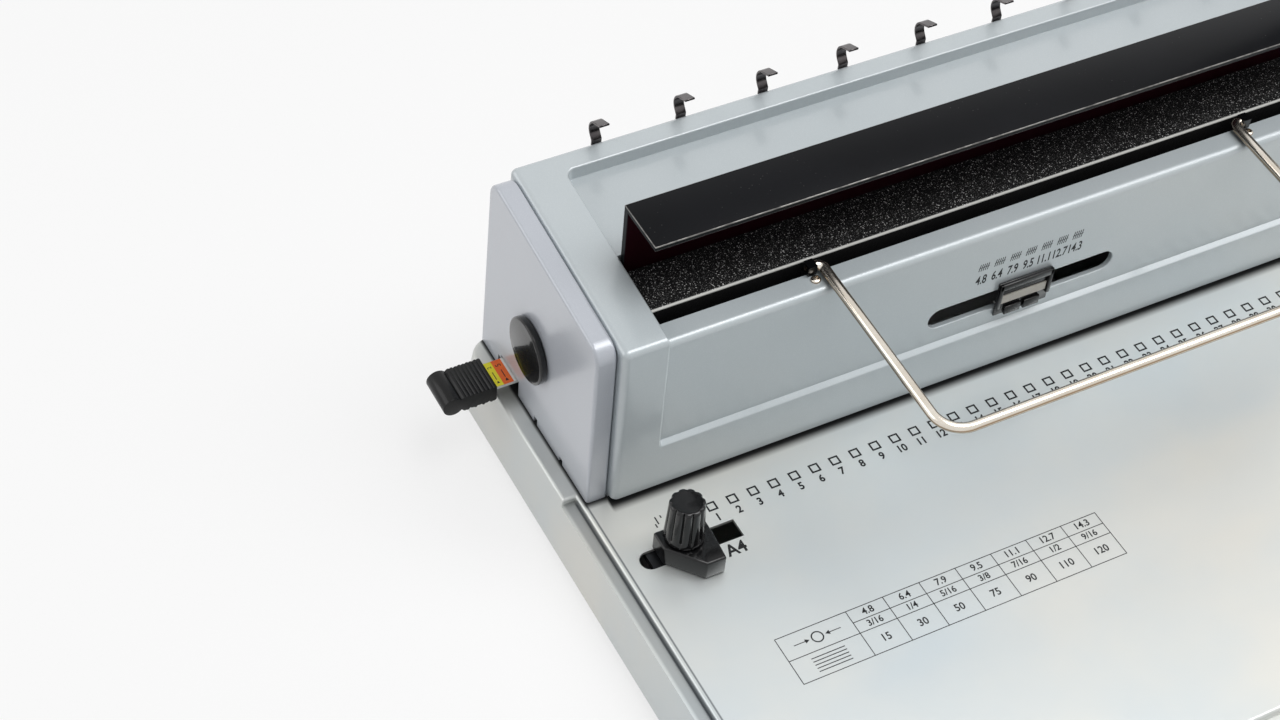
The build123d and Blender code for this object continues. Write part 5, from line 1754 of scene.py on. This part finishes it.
@dataclass(frozen=True)
class SoftPiece:
    """A CAD node whose edges are broken, with its body, its slot and the width of the break."""

    node: str
    body: Body
    slot: Slot
    width: float


@dataclass
class SoftEdges:
    """Pieces whose sharp CAD edges are broken, so that they catch a line of light."""

    finishes: Finishes
    nodes: Mapping[str, bpy.types.Object]
    pieces: tuple[SoftPiece, ...] = (
        SoftPiece("edge_guide", Body.sheet_guide, Slot.black_plastic, 0.00045),
        SoftPiece("shaft_end_cap", Body.lever, Slot.black_gloss, 0.0006),
        SoftPiece("closing_bar", Body.closer, Slot.black_enamel, 0.00025))
    near: float = 1e-6
    flat_angle: float = 2.0
    edge_angle: float = 30.0

    def build(self) -> None:
        """Builds each piece from the faces of its CAD node."""
        for piece in self.pieces:
            soft = link(f"{piece.node}_soft", self.faces_of(piece.node))
            softened(soft, piece.width, degrees=self.edge_angle)
            soft.data.materials.clear()
            soft.data.materials.append(self.finishes.get(piece.slot))
            settle(soft, piece.body, piece.slot, piece.node)

    def faces_of(self, node: str) -> bpy.types.Mesh:
        """Copy of a node's mesh with its flat faces whole.

        Args:
            node: Name of the CAD node.

        Returns:
            The mesh, in the frame of the machine.
        """
        work = bmesh.new()
        work.from_mesh(self.nodes[node].data)
        bmesh.ops.transform(work, matrix=self.nodes[node].matrix_world, verts=work.verts)
        bmesh.ops.remove_doubles(work, verts=work.verts, dist=self.near)
        bmesh.ops.dissolve_limit(work, angle_limit=math.radians(self.flat_angle), verts=work.verts,
                                 edges=work.edges)
        bmesh.ops.recalc_face_normals(work, faces=work.faces)
        mesh = bpy.data.meshes.new(node)
        work.to_mesh(mesh)
        work.free()
        return mesh


@dataclass
class ClipScrews:
    """Cross recess screws of the hinge blocks on the shelf."""

    finishes: Finishes
    copies: CopyTree
    place: Point = (0.093, 0.0508, 0.1012)
    head_radius: float = 0.00185
    head_height: float = 0.0011
    head_rim: float = 0.0004
    head_power: float = 0.6
    head_steps: int = 6
    shank_radius: float = 0.0012
    shank_length: float = 0.005
    shank_taper: float = 0.0003
    segments: int = 40
    recess_half: float = 0.0011
    recess_width_half: float = 0.00028
    recess_depth: float = 0.0006
    turn: float = math.pi
    turn_seed: int = 4

    def build(self) -> None:
        """Builds both screws as one piece."""
        screw = link("clip_screw", turned("clip_screw", self.profile(), self.segments))
        for turn in (0.0, math.pi / 2):
            self.cut(screw, turn)
        tidy(screw.data)
        sharpen(screw)
        x, y, z = self.place
        row = self.copies.lay("clip_screws_domed", [(-x, y, z), (x, y, z)], screw,
                              self.finishes.get(Slot.bright_wire), self.turn, self.turn_seed)
        settle(row, Body.housing, Slot.zinc_steel, "support_clip_screws")

    def profile(self) -> list[Pair]:
        """Half outline of a screw.

        Returns:
            Pairs of a radius and a height, from the tip up.
        """
        dome = self.head_height - self.head_rim
        line = [(self.shank_taper, -self.shank_length),
                (self.shank_radius, self.shank_taper - self.shank_length), (self.shank_radius, 0.0),
                (self.head_radius, 0.0), (self.head_radius, self.head_rim)]
        line += [(self.head_radius * across ** self.head_power, self.head_rim + dome * up)
                 for across, up in quarter(self.head_steps)[:-1]]
        return line + [(self.head_rim, self.head_height)]

    def cut(self, screw: bpy.types.Object, turn: float) -> None:
        """Cuts one slot of the cross recess.

        Args:
            screw: The screw, about the origin.
            turn: Turn of the slot about Z, in radians.
        """
        half, width = self.recess_half, self.recess_width_half
        tool = bar(-half, half, -width, width, self.head_height - self.recess_depth, self.head_height * 2)
        tool.transform(Matrix.Rotation(turn, 4, "Z"))
        cutter = link("recess", tool)
        cut = screw.modifiers.new("recess", "BOOLEAN")
        cut.operation = "DIFFERENCE"
        cut.object = cutter
        baked(screw)
        bpy.data.objects.remove(cutter)


@dataclass
class HandGrip:
    """Ringed rubber grip on the lever arm."""

    finishes: Finishes
    foot: Point = (0.1947, 0.093, 0.063)
    lean: float = math.radians(6.0)
    low: float = 0.105
    length: float = 0.118
    radius: float = 0.014
    core: float = 0.0101
    lip: tuple[Pair, ...] = ((0.0032, 0.0), (0.0012, 0.0008), (0.0004, 0.0026), (0.0004, 0.0052))
    ringed: Pair = (0.0075, 0.102)
    rings: int = 13
    ring_steps: int = 8
    ring_depth: float = 0.0005
    ring_power: int = 3
    waist: float = 0.0008
    swell: float = 0.0004
    swells: int = 2
    dome_inset: float = 0.0003
    dome_height: float = 0.0115
    dome_steps: int = 12
    crown: float = 0.0006
    segments: int = 72
    crisp_angle: float = 50.0

    def build(self) -> None:
        """Builds the grip on the lever in the place of the CAD one."""
        grip = link("hand_grip_ringed", turned("hand_grip", self.profile(), self.segments))
        grip.data.materials.append(self.finishes.get(Slot.black_rubber))
        place = Matrix.Translation(self.foot) @ Matrix.Rotation(-self.lean, 4, "X")
        grip.data.transform(place @ Matrix.Translation((0.0, 0.0, self.low)))
        sharpen(grip, self.crisp_angle)
        settle(grip, Body.lever, Slot.black_rubber, "handle_grip")

    def profile(self) -> list[Pair]:
        """Half outline with finger swells, rings and a domed end.

        Returns:
            Pairs of a radius and a height, from the foot up.
        """
        line = [(self.core, 0.0)] + [(self.radius - inset, height) for inset, height in self.lip]
        steps = self.rings * self.ring_steps
        start, end = self.ringed
        for index in range(steps + 1):
            share = index / steps
            swell = self.swell * math.cos(math.tau * self.swells * share)
            ring = self.ring_depth * crest(share * self.rings) ** self.ring_power
            line.append((self.radius - self.waist + swell - ring, start + (end - start) * share))
        dome, foot = self.radius - self.dome_inset, self.length - self.dome_height
        line += [(dome * across, foot + self.dome_height * up)
                 for across, up in quarter(self.dome_steps, first=0)[:-1]]
        return line + [(self.crown, self.length)]


def main() -> None:
    """Loads the frame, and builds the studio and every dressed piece."""
    logging.basicConfig(level=logging.INFO, format="%(name)s: %(message)s")
    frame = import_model()
    finishes = Finishes()
    finishes.dress_frame(frame["nodes"])
    Studio().build()
    copies = CopyTree()
    flutes = FluteTree()
    for part in (BasePrint(finishes, copies), PanelPrint(finishes), SelectorKnob(finishes),
                 HookRow(finishes, copies), MarginGrip(finishes), ClampKnob(finishes, flutes),
                 SoftEdges(finishes, frame["nodes"]), ClipScrews(finishes, copies), HandGrip(finishes)):
        part.build()
        LOG.info("built %s", type(part).__name__)
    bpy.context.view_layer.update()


if __name__ == "__main__":
    main()
